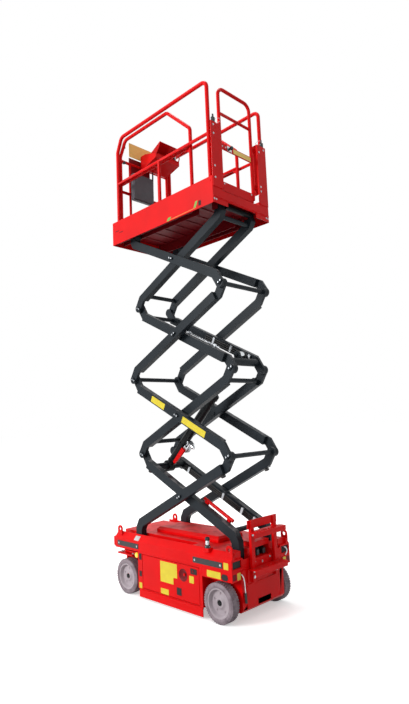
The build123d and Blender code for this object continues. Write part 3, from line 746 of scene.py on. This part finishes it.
def side_lamp(name, side):
    """A domed amber lens in a black rubber ring, beside the steered wheel."""
    centre = Vector((-0.484, side * 0.374, 0.370))
    inward = Vector((0, -side, 0))
    lens = [(0.0, 0), (0.0008, 0.012), (0.004, 0.021), (0.008, 0.0235), (0.034, 0.0235), (0.034, 0)]
    ring = [(0.012, 0.0236), (0.010, 0.026), (0.014, 0.028), (0.034, 0.028), (0.034, 0.0236),
            (0.012, 0.0236)]
    dome = spun(f"lamp_lens_{name}", lens, centre, inward, "base", amber, 32)
    spun(f"lamp_ring_{name}", ring, centre, inward, "base", black_rubber, 32)
    return dome


lenses = [side_lamp(name, side) for name, side in sides.items()]
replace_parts(lenses[0], "side_lamps")
for name, side in sides.items():
    boxes(f"yoke_plate_{name}", [((-0.778, -0.548), sorted((side * 0.262, side * 0.372)), (0.350, 0.362))],
          "base", red_coat, 0.003)
    nuts = [(x, side * 0.335, 0.363) for x in (-0.745, -0.575)]
    bolts(f"yoke_nuts_{name}", nuts, sky, "base", radius=0.010, height=0.010)
boxes("lamp_brackets", [((-0.512, -0.456), sorted((side * 0.326, side * 0.340)), (0.345, 0.400))
                        for side in sides.values()], "base", red_coat)

# %% [markdown]
# ## Tray doors
# The swing-out battery trays have a dished pull in the door, a latch behind an oval slot and a
# square vent. The dish is a turned bowl pressed into the door, with a round latch key in it. The
# bowl and the latch knob take the darker copy of the red, and the slot and the vent are black
# plates: painted shade for their depth.

# %% Tray door details
for name, side in sides.items():
    tray = f"battery_tray_{name}"
    centre = Vector((0.161, side * 0.3764, 0.305))
    inward = Vector((0, -side, 0))
    bowl = [(0.0, 0.052), (-0.001, 0.050), (0.0, 0.0475), (0.005, 0.040), (0.0072, 0.026), (0.0074, 0)]
    # Painted shade: the bowl takes the darker copy of the red to look deep.
    spun(f"door_dish_{name}", bowl, centre, inward, tray, painted_shade_red_coat, 48)
    key = [(-0.001, 0), (-0.001, 0.010), (0.001, 0.012), (0.0078, 0.012)]
    spun(f"door_key_{name}", key, centre + Vector((0.012, 0, 0.004)), inward, tray, red_coat, 20)
    punched_hole(f"vent_{name}", 0.079, 0.133, 0.135, 0.190, side, tray, 0.003)
    punched_hole(f"latch_opening_{name}", 0.256, 0.328, 0.334, 0.373, side, tray, 0.004)
    # Painted shade: the knob in the latch opening is in the darker red.
    rod(f"latch_knob_{name}", (0.282, side * 0.374, 0.352), (0.282, side * 0.3795, 0.352), 0.011, tray,
        painted_shade_red_coat)

# %% [markdown]
# ## Ladder end
# The rear face has the brake release: a grey rod with a black grip that hangs from a hole beside
# the rear box, a steel crank in the far recess, and pale bolt heads along the ladder. Rods that
# bend are curves with a round bevel, turned to meshes once their shape is right.

# %% Bent rods
def bent_rod(name, points, radius, body, finish, smooth=True):
    """A rod or pipe through points, as a mesh."""
    curve = bpy.data.curves.new(name, "CURVE")
    curve.dimensions = "3D"
    curve.bevel_depth = radius
    curve.bevel_resolution = 4
    curve.resolution_u = 8
    curve.use_fill_caps = True
    spline = curve.splines.new("BEZIER" if smooth else "POLY")
    if smooth:
        spline.bezier_points.add(len(points) - 1)
        for knot, place in zip(spline.bezier_points, points):
            knot.co = place
            knot.handle_left_type = knot.handle_right_type = "AUTO"
    else:
        spline.points.add(len(points) - 1)
        for knot, place in zip(spline.points, points):
            knot.co = (*place, 1)
    temporary = bpy.data.objects.new(name, curve)
    bpy.context.scene.collection.objects.link(temporary)
    graph = bpy.context.evaluated_depsgraph_get()
    mesh = bpy.data.meshes.new_from_object(temporary.evaluated_get(graph))
    bpy.data.objects.remove(temporary)
    bpy.data.curves.remove(curve)
    shape = bmesh.new()
    shape.from_mesh(mesh)
    bpy.data.meshes.remove(mesh)
    bmesh.ops.remove_doubles(shape, verts=shape.verts, dist=0.00001)
    return from_bmesh(name, shape, body, finish)


bent_rod("brake_release_rod", [(0.716, -0.278, 0.385), (0.736, -0.276, 0.378), (0.742, -0.262, 0.335),
                               (0.738, -0.252, 0.280), (0.736, -0.246, 0.238)], 0.0045, "base", zinc)
rod("brake_release_grip", (0.736, -0.246, 0.240), (0.735, -0.240, 0.160), 0.0095, "base", black_rubber)
bent_rod("release_crank", [(0.690, 0.300, 0.470), (0.716, 0.304, 0.478), (0.732, 0.312, 0.468),
                           (0.735, 0.314, 0.440), (0.728, 0.300, 0.415)], 0.006, "base", zinc)
rod("release_crank_boss", (0.664, 0.298, 0.468), (0.700, 0.300, 0.471), 0.014, "base", machined)

end_face_x = 0.720
# Painted shade: beside the films, the hole is a plate in the darker red and the recess a black plate.
for name, side in sides.items():
    for tag, x, ys, zs, finish, corner in (
            ("film", end_face_x, (0.316, 0.276), (0.345, 0.398), yellow_film, 0.004),
            ("hole", end_face_x, (0.368, 0.326), (0.350, 0.396), painted_shade_red_coat, 0.008),
            ("opening", 0.708, (0.361, 0.263), (0.433, 0.487), painted_shade_black, 0.0)):
        outline = rectangle(*sorted(side * y for y in ys), *zs)
        end_plate(f"end_{tag}_{name}", outline, x, film_thickness, "base", finish, corner)

ladder_spots = [(0.7545, y, z) for y in (-0.146, 0.146) for z in (0.664, 0.385, 0.340)]
bolts("ladder_bolts", ladder_spots, ladder_end, "base", radius=0.008, height=0.005)
panel_spots = [(0.7205, y, z) for y, z in ((-0.096, 0.440), (0.0, 0.426), (0.100, 0.444))]
bolts("end_panel_bolts", panel_spots, ladder_end, "base", radius=0.007)
for tag, z in (("low", 0.408), ("high", 0.690)):
    studs = [(0.776 + 0.015 * row, -0.180 + 0.030 * (i + 0.5 * (row % 2)), z)
             for row in range(3) for i in range(13 - row % 2)]
    bolts(f"{tag}_tread_studs", studs, sky, "base", red_coat, 0.0045, 0.002, 10)
cover_spots = [(0.7262, y, z) for y in (-0.2, 0.2) for z in (0.123, 0.275)]
bolts("rear_cover_bolts", cover_spots, ladder_end, "base", red_coat, height=0.003)
# Painted shade: a black sheet at the back of the rear bay, behind the valves.
boxes("rear_bay_painted_shade", [((0.6405, 0.6425), (-0.1175, 0.1175), (0.4655, 0.5395))], "base",
      painted_shade_black, 0.0)
boxes("rear_bay_valves", [((0.645, 0.690), (y, y + 0.032), (0.470, 0.515)) for y in (-0.09, -0.03, 0.05)],
      "base", black_plastic, 0.003)

# %% [markdown]
# ## On the deck
# A tilt sensor stands on the deck near the arm's foot: a black moulded foot, a bright metal neck
# and a black cap. The steered wheels' kingpins end in a nut above the yoke plates.

# %% Deck sensor and kingpin nuts
sensor_foot = Vector((0.440, -0.349, 0.560))
boxes("deck_sensor_bracket", [((0.408, 0.472), (-0.374, -0.321), (0.530, 0.5605))], "base", red_coat)
for tag, rise, profile, finish, steps in (
        ("foot", 0.0, [(0, 0), (0, 0.024), (0.010, 0.024), (0.013, 0.021), (0.022, 0.019), (0.026, 0.014),
                       (0.026, 0)], black_plastic, 28),
        ("neck", 0.025, [(0, 0), (0, 0.017), (0.012, 0.018), (0.030, 0.015), (0.034, 0.012), (0.034, 0)],
         machined, 24),
        ("cap", 0.057, [(0, 0), (0, 0.017), (0.004, 0.020), (0.020, 0.020), (0.026, 0.014), (0.030, 0)],
         black_plastic, 24)):
    spun(f"deck_sensor_{tag}", profile, sensor_foot + Vector((0, 0, rise)), sky, "base", finish, steps)
foot_spots = [sensor_foot + Vector((dx, dy, 0.010)) for dx, dy in ((-0.020, 0), (0.020, 0), (0, -0.020))]
bolts("deck_sensor_bolts", foot_spots, sky, "base", radius=0.004, height=0.003)
nut = [(0, 0), (0, 0.022), (0.012, 0.022), (0.016, 0.014), (0.024, 0.013), (0.026, 0)]
for name, side in sides.items():
    spun(f"kingpin_nut_{name}", nut, (-0.635, side * 0.290, 0.396), sky, f"steer_knuckle_{name}", zinc, 6)

# %% [markdown]
# ## Arm pins and stops
# The pins of the stack are each held by a small keeper plate and two bolts, and the lowest arms
# carry rubber stops on their undersides. The arm's own axes are worked out from the same
# lengths and angles that the steel was drawn with.

# %% Arm axes
arm_length = 1.404
rest_angle = radians(31.0)
stow_angle = radians(4.5)
lean = rest_angle - stow_angle
level_rise = arm_length * sin(rest_angle)
first_centre = Vector((0.067, 0, 0.926))
half_reach = arm_length / 2 * cos(stow_angle)
half_drop = arm_length / 2 * sin(stow_angle)
outer_face_y = 0.316
inner_face_y = 0.232
pin_stand_off = 0.008
keeper_thickness = 0.005


def is_rising(level, plane):
    return (level % 2 == 1) == (plane == "outer")


def arm_axes(level, plane):
    """Centre of an arm with its along and upward directions."""
    angle = lean if is_rising(level, plane) else -lean
    centre = first_centre + Vector((0, 0, (level - 1) * level_rise))
    return centre, Vector((cos(angle), 0, sin(angle))), Vector((-sin(angle), 0, cos(angle)))


def arm_point(level, plane, u, w, y):
    centre, along, upward = arm_axes(level, plane)
    return centre + along * u + upward * w + Vector((0, y, 0))


for level in (1, 2, 3, 4):
    for plane in ("outer", "inner"):
        body = f"arm_{level}_{plane}"
        centre, along, upward = arm_axes(level, plane)
        high_u = half_reach if is_rising(level, plane) else -half_reach
        pins = ([(0, 0)] if plane == "outer" else []) + ([(high_u, half_drop)] if level < 4 else [])
        shapes, places, facings = [], [], []
        for side in sides.values():
            face = side * (outer_face_y if plane == "outer" else inner_face_y) + side * pin_stand_off
            direction = along if side < 0 else -along
            outward = Vector((0, side, 0))
            for u, w in pins:
                origin = arm_point(level, plane, u, w, face)
                outline = rounded_outline(rectangle(-0.015, 0.038, -0.011, 0.011), 0.005, 3)
                shapes.append(plate_shape(outline, origin, direction, upward, keeper_thickness))
                places += [origin + outward * keeper_thickness + direction * t for t in (0.0, 0.028)]
                facings += [outward, outward]
        if shapes:
            from_bmesh(f"{body}_keepers", merged(shapes), body, arm_coat)
            bolts(f"{body}_pin_bolts", places, facings, body, radius=0.005)

half_height = 0.040
for plane, u, y in (("outer", 0.560, 0.286), ("inner", -0.545, 0.202)):
    centre, along, upward = arm_axes(1, plane)
    stops = []
    for side in sides.values():
        foot = arm_point(1, plane, u, -half_height + 0.004, side * y)
        stops.append(turned([(0, 0), (0, 0.014), (0.012, 0.014), (0.013, 0.022), (0.026, 0.020),
                             (0.029, 0)], foot, -upward, 16))
    from_bmesh(f"arm_1_{plane}_stops", merged(stops), f"arm_1_{plane}", black_rubber)

centre, along, upward = arm_axes(2, "outer")
for name, side in sides.items():
    direction = along if side < 0 else -along
    for tag, u0, u1 in (("short", -0.365, -0.165), ("long", 0.095, 0.405)):
        u0, u1 = (u0, u1) if side < 0 else (-u1, -u0)
        outline = rectangle(u0, u1, -0.030, 0.026)
        plate(f"arm_film_{tag}_{name}", outline, centre + Vector((0, side * outer_face_y, 0)), direction,
              upward, film_thickness, "arm_2_outer", yellow_film)
print("stack leans", round(lean * 180 / pi, 1), "degrees, levels rise", round(level_rise, 3), "m")

# %% [markdown]
# ## Lift cylinder
# One cylinder opens the stack. On the barrel are its lock valve with a bright coil, the red
# guard bar over the manual lowering valve, the gland nut the rod slides through, and pressed
# steel pipes. All of them ride with the barrel, so the pipes are formed rigid lines.

# %% Cylinder fittings
low_eye = arm_point(1, "inner", -0.520, 0.0, 0)
high_eye = arm_point(3, "inner", 0.570, 0.030, 0)
ram = (high_eye - low_eye).normalized()
ram_up = Vector((-ram.z, 0, ram.x))
barrel_radius = 0.042


def on_ram(s, w, y=0.0):
    return low_eye + ram * s + ram_up * w + Vector((0, y, 0))


gland = [(0, 0.0266), (0, barrel_radius + 0.004), (0.004, barrel_radius + 0.008),
         (0.040, barrel_radius + 0.008), (0.044, barrel_radius + 0.004), (0.052, 0.036), (0.052, 0.0266),
         (0, 0.0266)]
spun("cylinder_gland_nut", gland, on_ram(0.884, 0), ram, "lift_cylinder", black_coat, 40)
collars = [turned([(0, barrel_radius - 0.001), (0, barrel_radius + 0.004), (0.014, barrel_radius + 0.004),
                   (0.014, barrel_radius - 0.001)], on_ram(s, 0), ram, 40) for s in (0.060, 0.300, 0.560)]
from_bmesh("cylinder_collars", merged(collars), "lift_cylinder", black_coat)
coil = merged([bar(on_ram(0.372, -0.093), on_ram(0.372, -0.128), 0.019, 24),
               bar(on_ram(0.372, -0.126), on_ram(0.372, -0.138), 0.010, 16)])
from_bmesh("lock_valve_coil", coil, "lift_cylinder", machined)
plug_shape = merged([bar(on_ram(0.310, -0.093), on_ram(0.310, -0.108), 0.012, 6),
                     bar(on_ram(0.372, -0.070, -0.030), on_ram(0.372, -0.070, -0.046), 0.011, 6)])
from_bmesh("lock_valve_plugs", plug_shape, "lift_cylinder", zinc)
guard_outline = [(0.110, -0.044), (0.300, -0.044), (0.300, -0.088), (0.240, -0.088), (0.110, -0.074)]
plate("lowering_valve_guard", guard_outline, low_eye + Vector((0, -0.032, 0)), ram, ram_up, 0.018,
      "lift_cylinder", red_coat, 0.006)
bent_rod("pressure_pipe", [on_ram(0.330, -0.070, -0.031), on_ram(0.360, -0.062, -0.048),
                           on_ram(0.480, -0.036, -0.046), on_ram(0.700, -0.026, -0.044),
                           on_ram(0.850, -0.022, -0.042), on_ram(0.872, -0.016, -0.036)], 0.006,
         "lift_cylinder", black_coat)
bent_rod("return_pipe", [on_ram(0.290, -0.060, 0.030), on_ram(0.250, -0.040, 0.046),
                         on_ram(0.150, 0.0, 0.052), on_ram(0.080, 0.030, 0.050),
                         on_ram(0.040, 0.062, 0.040)], 0.007, "lift_cylinder", black_rubber)
eye_ring = [turned([(0, 0.030), (0, 0.035), (0.004, 0.037), (0.010, 0.037), (0.010, 0.030)],
                   high_eye + Vector((0, side * 0.030, 0)), (0, side, 0), 32) for side in sides.values()]
from_bmesh("rod_eye_seals", merged(eye_ring), "lift_rod", black_rubber)

# %% [markdown]
# ## Lines clipped along two arms
# Oil and cable lines run up the inside of the first and third inner arms in clipped bundles of
# straight runs. They are held at every clip, so they move as part of the arm.

# %% Clipped lines
def clipped_lines(name, level, y, us, runs, clip_us, finish):
    """Straight runs beside an inner arm, given as (w, radius), with their clips."""
    body = f"arm_{level}_inner"
    centre, along, upward = arm_axes(level, "inner")
    shapes = [bar(arm_point(level, "inner", us[0], w, y), arm_point(level, "inner", us[1], w, y), radius, 12)
              for w, radius in runs]
    from_bmesh(name, merged(shapes), body, finish)
    low = min(w for w, radius in runs) - 0.012
    high = max(w for w, radius in runs) + 0.012
    face = 0.1725 if y > 0 else -0.1565
    clips = [plate_shape(rounded_outline(rectangle(-0.012, 0.012, low, high), 0.004, 3),
                         arm_point(level, "inner", u, 0, face), along, upward, 0.016) for u in clip_us]
    from_bmesh(name + "_clips", merged(clips), body, zinc)


clipped_lines("arm_1_lines", 1, 0.163, (-0.46, 0.52), ((0.018, 0.0065), (0.0, 0.0065), (-0.018, 0.005)),
              (-0.40, -0.15, 0.10, 0.35, 0.50), black_rubber)
clipped_lines("arm_3_lines", 3, 0.163, (-0.06, 0.56), ((0.020, 0.006), (0.002, 0.006), (-0.016, 0.006)),
              (0.06, 0.30, 0.54), black_rubber)
clipped_lines("arm_3_pale_lines", 3, -0.163, (-0.02, 0.46), ((0.048, 0.006), (0.034, 0.005)), (0.05, 0.40),
              zinc)

# %% [markdown]
# ## Tread plate
# The platform floor is tread plate: short raised bars in a herringbone, 30 mm apart. Geometry
# Nodes place them on a grid made in the script, each turned a quarter from its neighbour. A bar
# is only twenty faces, because there are hundreds and they are seen from metres away.

# %% Tread plate bars
def tread_bar(tree, given):
    lozenge = add_node(tree, "GeometryNodeMeshIcoSphere", {"Radius": 0.5, "Subdivisions": 1}).outputs["Mesh"]
    return add_node(tree, "GeometryNodeTransform",
                    {"Geometry": lozenge, "Scale": given["Bar Size"]}).outputs[0]


tread_bars = scatter_tree("tread_bars", {"Bar Size": "Vector"}, tread_bar,
                          lambda tree, facing: aligned(tree, {"Vector": facing}, "X", pivot_axis="Z"))


def tread(name, xs, ys, z, body):
    pitch = 0.030
    places, facings = [], []
    for i in range(int((xs[1] - xs[0]) / pitch)):
        for j in range(int((ys[1] - ys[0]) / pitch)):
            places.append((xs[0] + (i + 0.5) * pitch, ys[0] + (j + 0.5) * pitch, z))
            facings.append(Vector((1, 1 if (i + j) % 2 else -1, 0)).normalized())
    # Painted shade: the bars take the darker copy of the red, like the floors they stand on.
    return grown(name, tread_bars, places, facings, {"Bar Size": (0.026, 0.007, 0.0036)}, body,
                 painted_shade_red_coat)


deck_low, deck_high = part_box("deck_floor")
floor_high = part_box("platform_floor")[1]
deck_top = 3.559
tread("deck_tread", (deck_low.x + 0.02, deck_high.x), (-0.33, 0.33), deck_top, "extension_deck")
tread("floor_tread", (deck_high.x + 0.02, floor_high.x - 0.01), (-0.36, 0.36), floor_high.z, "platform")
# Painted shade: the ribs under the platform take the darker copy of the red.
rib_pitch = 0.155
ribs = [((x, x + 0.035), (-0.238, 0.238), (3.528, 3.5362))
        for x in (-0.62 + i * rib_pitch for i in range(8))]
boxes("floor_ribs", ribs, "platform", painted_shade_red_coat, 0.004)
boxes("deck_front_panel", [((-0.7368, -0.7352), (-0.376, 0.376), (3.411, 3.650))], "extension_deck",
      red_coat, 0.0)
boxes("top_cross_channel", [((0.6285, 0.6615), (-0.1575, 0.1575), (3.4265, 3.4595))], "platform", black_coat,
      0.002)

# %% [markdown]
# ## Side panels of the platform
# The panels carry a thin orange stripe with a green block at each end, a slot near the ladder
# end and two small slots at the other, all plain film or punched sheet. The slots are painted
# shade: a black plate with a lip of the darker red, and two strips of the darker red.

# %% Panel stripes
panel_y = 0.380
for name, side in sides.items():
    for tag, finish, outline in (
            ("stripe", orange_film, [(0.150, 3.417), (0.500, 3.424), (0.500, 3.431), (0.150, 3.424)]),
            ("tail", green_film, [(0.108, 3.416), (0.150, 3.416), (0.172, 3.446), (0.130, 3.446)]),
            ("block", green_film, [(0.466, 3.434), (0.494, 3.434), (0.520, 3.486), (0.492, 3.486)])):
        side_sheet(f"panel_{tag}_{name}", outline, side, "platform", finish, 0.0, panel_y)
    punched_hole(f"panel_hole_{name}", 0.532, 0.556, 3.436, 3.474, side, "platform", 0.003, panel_y)
    for i, (x, z) in enumerate(((-0.655, 3.545), (-0.590, 3.520))):
        side_plate(f"panel_slot_{i}_{name}", x - 0.030, x + 0.030, z - 0.004, z + 0.004, side, "platform",
                   painted_shade_red_coat, 0.003, panel_y, 0.001)
    rivets = [(x, side * panel_y, 3.612) for x in (-0.70, 0.68)]
    bolts(f"panel_bolts_{name}", rivets, (0, side, 0), "platform", red_coat, height=0.003)

# %% [markdown]
# ## Gate, posts and sill
# The entry posts are folded plates with pale bolts, and each carries a black clip with a wire
# loop for a lanyard. The gate's latch bar has a blank film and a black sprung knob. The sill's
# upper edge is a serrated grip strip, a row of small teeth.

# %% Gate, posts and sill fittings
post_face_x = 0.712
post_spots = [(post_face_x, y, z)
              for y, z in ((-0.345, 4.120), (-0.345, 4.040), (-0.345, 3.745), (-0.345, 3.640),
                           (0.278, 4.080), (0.278, 3.735), (0.278, 3.690), (0.345, 4.120))]
bolts("post_bolts", post_spots, ladder_end, "platform", radius=0.0065)
for name, side in sides.items():
    clip = [((0.690, 0.712), sorted((side * 0.318, side * 0.350)), (4.150, 4.196)),
            ((0.696, 0.706), sorted((side * 0.326, side * 0.342)), (4.190, 4.225))]
    boxes(f"post_clip_{name}", clip, "platform", black_plastic, 0.003)
    loop = [Vector((0.705 + 0.030 * sin(a), side * (0.318 - 0.030 + 0.030 * cos(a)), 4.176 + 0.010 * sin(a)))
            for a in [2 * pi * i / 18 for i in range(19)]]
    bent_rod(f"lanyard_loop_{name}", loop, 0.0016, "platform", zinc)

gate_x = 0.665
gate_face_x = gate_x + 0.004
latch_z = 3.993
end_plate("gate_film", rectangle(-0.045, 0.205, 3.972, 4.014), gate_face_x, film_thickness, "entry_gate",
          sign_film)
knob = [(0, 0), (0, 0.010), (0.018, 0.010), (0.020, 0.017), (0.036, 0.017), (0.042, 0.010), (0.043, 0)]
spun("gate_latch_knob", knob, (gate_face_x, -0.100, latch_z), ladder_end, "entry_gate", black_plastic)
boxes("gate_latch_plate", [((gate_face_x, gate_x + 0.008), (-0.132, -0.070), (3.970, 4.016))],
      "entry_gate", machined, 0.001)
rod("gate_latch_bolt", (gate_x, -0.214, latch_z), (gate_x, -0.246, latch_z), 0.008, "entry_gate", zinc)
boxes("gate_latch_catch", [((0.657, 0.682), (-0.252, -0.248), (3.965, 4.020))], "platform", machined,
      0.001)
gate_spots = [(gate_face_x, y, z)
              for y, z in ((-0.190, latch_z), (-0.150, latch_z), (-0.185, 3.645), (0.185, 3.645))]
bolts("gate_bolts", gate_spots, ladder_end, "entry_gate", radius=0.005, height=0.003)

teeth = [((0.706, 0.711), (y, y + 0.008), (3.462, 3.474)) for y in (-0.360 + i * 0.016 for i in range(46))]
boxes("sill_teeth", teeth, "platform", red_coat, 0.0)
boxes("sill_strip", [((0.7055, 0.7085), (-0.378, 0.378), (3.458, 3.478))], "platform", red_coat, 0.001)
sill_spots = [(0.7065, y, 3.446) for y in (-0.365, -0.340, 0.340, 0.365)]
bolts("sill_bolts", sill_spots, ladder_end, "platform")

# %% [markdown]
# ## Controls and stowage on the sliding deck
# The operator stands behind a red sheet-metal console: a sloped black panel under a folded
# cowl, a joystick behind a bent guard, a mushroom stop button and a row of plain switches. A
# dark moulded document box hangs on the rails, and a blank yellow sign with one corner cut off
# faces the operator over a backing panel in the darker copy of the red, which is painted shade.

# %% Console
console_y = (-0.080, 0.250)
sheet = 0.004
cheek = [(-0.362, 4.342), (-0.362, 4.392), (-0.400, 4.398), (-0.540, 4.440), (-0.618, 4.440),
         (-0.618, 4.296), (-0.580, 4.284)]
cheeks = [profile_shape(cheek, y, sheet) for y in (console_y[0] + sheet, console_y[1])]


def folded(points, ys, thickness=sheet):
    """A sheet folded along Y through (x, z) points."""
    shapes = []
    for first, second in zip(points, points[1:]):
        run = Vector((second[0] - first[0], second[1] - first[1]))
        normal = Vector((-run.y, run.x)).normalized() * thickness
        outline = [Vector(first), Vector(second), Vector(second) + normal, Vector(first) + normal]
        shapes.append(profile_shape(outline, ys[1], ys[1] - ys[0]))
    return shapes


wrap = folded([(-0.540, 4.436), (-0.614, 4.436), (-0.614, 4.298), (-0.578, 4.288), (-0.366, 4.344),
               (-0.366, 4.390)], console_y)
shell = from_bmesh("console_shell", merged(cheeks + wrap), "extension_deck", red_coat)
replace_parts(shell, "control_box")
panel_low = Vector((-0.398, 0, 4.394))
panel_high = Vector((-0.542, 0, 4.438))
slope = (panel_high - panel_low).normalized()
face_outline = rectangle(console_y[0] + sheet, console_y[1] - sheet, 0, (panel_high - panel_low).length)
plate("console_panel", face_outline, panel_low, (0, 1, 0), slope, 0.004, "extension_deck", black_plastic,
      0.003)
boxes("console_front_lip", [((-0.400, -0.362), (console_y[0] + sheet, console_y[1] - sheet),
                             (4.388, 4.392))], "extension_deck", red_coat, 0.001)
panel_out = Vector((0, 1, 0)).cross(slope)


def on_panel(y, rise):
    return panel_low + slope * rise + panel_out * 0.004 + Vector((0, y, 0))


button = [(0, 0), (0, 0.013), (0.014, 0.013), (0.015, 0.021), (0.026, 0.020), (0.030, 0.010), (0.031, 0)]
spun("stop_button", button, on_panel(-0.030, 0.055), panel_out, "extension_deck", red_coat, 28)
toggle = [(0, 0), (0, 0.009), (0.006, 0.009), (0.007, 0.004), (0.026, 0.003), (0.028, 0)]
switches = [turned(toggle, on_panel(0.035 + i * 0.035, 0.090), panel_out + slope * 0.25, 12)
            for i in range(3)]
from_bmesh("panel_switches", merged(switches), "extension_deck", zinc)
stick_root = Vector((-0.384, 0.198, 4.390))
boot = [(0, 0), (0, 0.024), (0.010, 0.021), (0.020, 0.010), (0.022, 0)]
stick = merged([turned(boot, stick_root, sky), bar(stick_root, stick_root + Vector((0, 0, 0.034)), 0.007)])
from_bmesh("joystick_boot", stick, "extension_deck", black_rubber)
grip = [(0, 0), (0, 0.012), (0.006, 0.019), (0.024, 0.019), (0.032, 0.012), (0.034, 0)]
spun("joystick_grip", grip, stick_root + Vector((0, 0, 0.030)), sky, "extension_deck", machined)
guard_points = [(-0.366, 0.150, 4.380), (-0.350, 0.150, 4.420), (-0.348, 0.156, 4.436),
                (-0.348, 0.236, 4.436), (-0.350, 0.242, 4.420), (-0.366, 0.242, 4.380)]
bent_rod("joystick_guard", guard_points, 0.006, "extension_deck", red_coat, smooth=False)
cowl_y = (-0.012, 0.246)
cowl_side = [(-0.560, 4.436), (-0.560, 4.452), (-0.368, 4.545), (-0.380, 4.500), (-0.430, 4.436)]
cowl = [profile_shape(cowl_side, y, sheet) for y in (cowl_y[0] + sheet, cowl_y[1])]
roof = folded([(-0.368, 4.542), (-0.560, 4.449)], cowl_y)
from_bmesh("console_cowl", merged(cowl + roof), "extension_deck", red_coat)

# %% Sign, document box and their fittings
sign_low, sign_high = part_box("sign_plate")
sign_outline = [(sign_low.y, sign_low.z), (sign_high.y - 0.060, sign_low.z),
                (sign_high.y, sign_low.z + 0.045), (sign_high.y, sign_high.z), (sign_low.y, sign_high.z)]
sign = end_plate("sign_board", sign_outline, sign_low.x, 0.003, "extension_deck", sign_film, 0.006)
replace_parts(sign, "sign_plate")
# Painted shade: the backing takes the darker copy of the red.
boxes("sign_backing", [((-0.653, -0.650), (-0.215, 0.070), (4.190, 4.400))], "extension_deck",
      painted_shade_red_coat, 0.001)

box_low, box_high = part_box("document_box")
body_outline = rectangle(box_low.y, box_high.y, box_low.z, box_high.z)
document = end_plate("document_box_body", body_outline, box_low.x, box_high.x - box_low.x - 0.010,
                     "extension_deck", grey_plastic, 0.018)
soften(document, 0.006)
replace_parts(document, "document_box")
lid_outline = rectangle(box_low.y + 0.004, box_high.y - 0.004, box_low.z + 0.004, box_high.z - 0.004)
lid = end_plate("document_box_lid", lid_outline, box_high.x - 0.012, 0.012, "extension_deck",
                grey_plastic, 0.016)
soften(lid, 0.005)
hangers = [((-0.656, -0.598), (y, y + 0.020), (4.040, 4.060)) for y in (-0.200, -0.020)]
boxes("document_box_hangers", hangers, "extension_deck", black_coat, 0.002)
bent_rod("console_conduit", [(-0.588, 0.060, 4.292), (-0.596, 0.062, 4.120), (-0.600, 0.064, 3.980),
                             (-0.610, 0.060, 3.800), (-0.616, 0.056, 3.640), (-0.618, 0.054, 3.562)], 0.008,
         "extension_deck", black_rubber)
lock_knob = [(0, 0), (0, 0.008), (0.014, 0.008), (0.016, 0.015), (0.030, 0.015), (0.034, 0.008), (0.035, 0)]
knobs = [turned(lock_knob, (-0.640, -0.300, z), ladder_end, 16) for z in (4.470, 4.300)]
from_bmesh("deck_lock_knobs", merged(knobs), "extension_deck", black_plastic)
gusset = [(0.330, 4.046), (0.396, 4.046), (0.396, 3.985)]
gussets = [profile_shape(gusset, side * 0.322, 0.004) for side in sides.values()]
from_bmesh("rail_gussets", merged(gussets), "extension_deck", red_coat)

# %% [markdown]
# ## Studio
# The machine stands on a white sweep. Rays that the camera sends, and those that glossy paint
# sends on, find the floor and the backdrop white, while the light that falls on the machine
# comes from a broad lamp over its near side, a softer one overhead and a dim surround. The
# floor keeps part of its lit shade, so the machine's soft shadow stays.

# %% Floor, surround and lamps
def white_share(tree):
    """One for rays that should find the surroundings white."""
    rays = add_node(tree, "ShaderNodeLightPath").outputs
    seen = combine(tree, "MAXIMUM", rays["Is Camera Ray"], rays["Is Glossy Ray"])
    return combine(tree, "MAXIMUM", seen, rays["Is Transmission Ray"])


floor_shade = 0.42
glow_share = 0.42


def floor_finish():
    finish = bpy.data.materials.new("white_sweep")
    tree = emptied(finish)
    share = white_share(tree)
    shade = remap(tree, share, low=floor_shade)
    lit = add_node(tree, "ShaderNodeBsdfDiffuse", {"Color": shade}).outputs[0]
    level = combine(tree, "MULTIPLY", share, glow_share)
    glow = add_node(tree, "ShaderNodeEmission", {"Color": (1, 1, 1, 1), "Strength": level}).outputs[0]
    both = add_node(tree, "ShaderNodeAddShader", {0: lit, 1: glow}).outputs[0]
    add_node(tree, "ShaderNodeOutputMaterial", {"Surface": both})
    return finish


floor_half = 60.0
floor_mesh = bpy.data.meshes.new("floor")
corners = [(-floor_half, -floor_half, 0), (floor_half, -floor_half, 0), (floor_half, floor_half, 0),
           (-floor_half, floor_half, 0)]
floor_mesh.from_pydata(corners, [], [(0, 1, 2, 3)])
floor = bpy.data.objects.new("floor", floor_mesh)
bpy.context.scene.collection.objects.link(floor)
floor.data.materials.append(floor_finish())

world = bpy.data.worlds.new("surround")
tree = emptied(world)
surround_level = 0.58
strength = remap(tree, white_share(tree), low=surround_level)
background = add_node(tree, "ShaderNodeBackground", {"Color": (1, 1, 1, 1), "Strength": strength})
add_node(tree, "ShaderNodeOutputWorld", {"Surface": background.outputs[0]})
bpy.context.scene.world = world


def lamp(name, place, target, size, power):
    data = bpy.data.lights.new(name, "AREA")
    data.shape = "DISK"
    data.size = size
    data.energy = power
    obj = bpy.data.objects.new(name, data)
    bpy.context.scene.collection.objects.link(obj)
    aim = Vector(target) - Vector(place)
    obj.matrix_world = Matrix.Translation(place) @ aim.to_track_quat("-Z", "Y").to_matrix().to_4x4()
    return obj


middle = (0, 0, 2.2)
lamp("near_side_lamp", (-5.0, -14.0, 6.5), middle, 6.0, 1750)
lamp("overhead_lamp", (-2.0, 0.5, 13.0), middle, 6.0, 480)
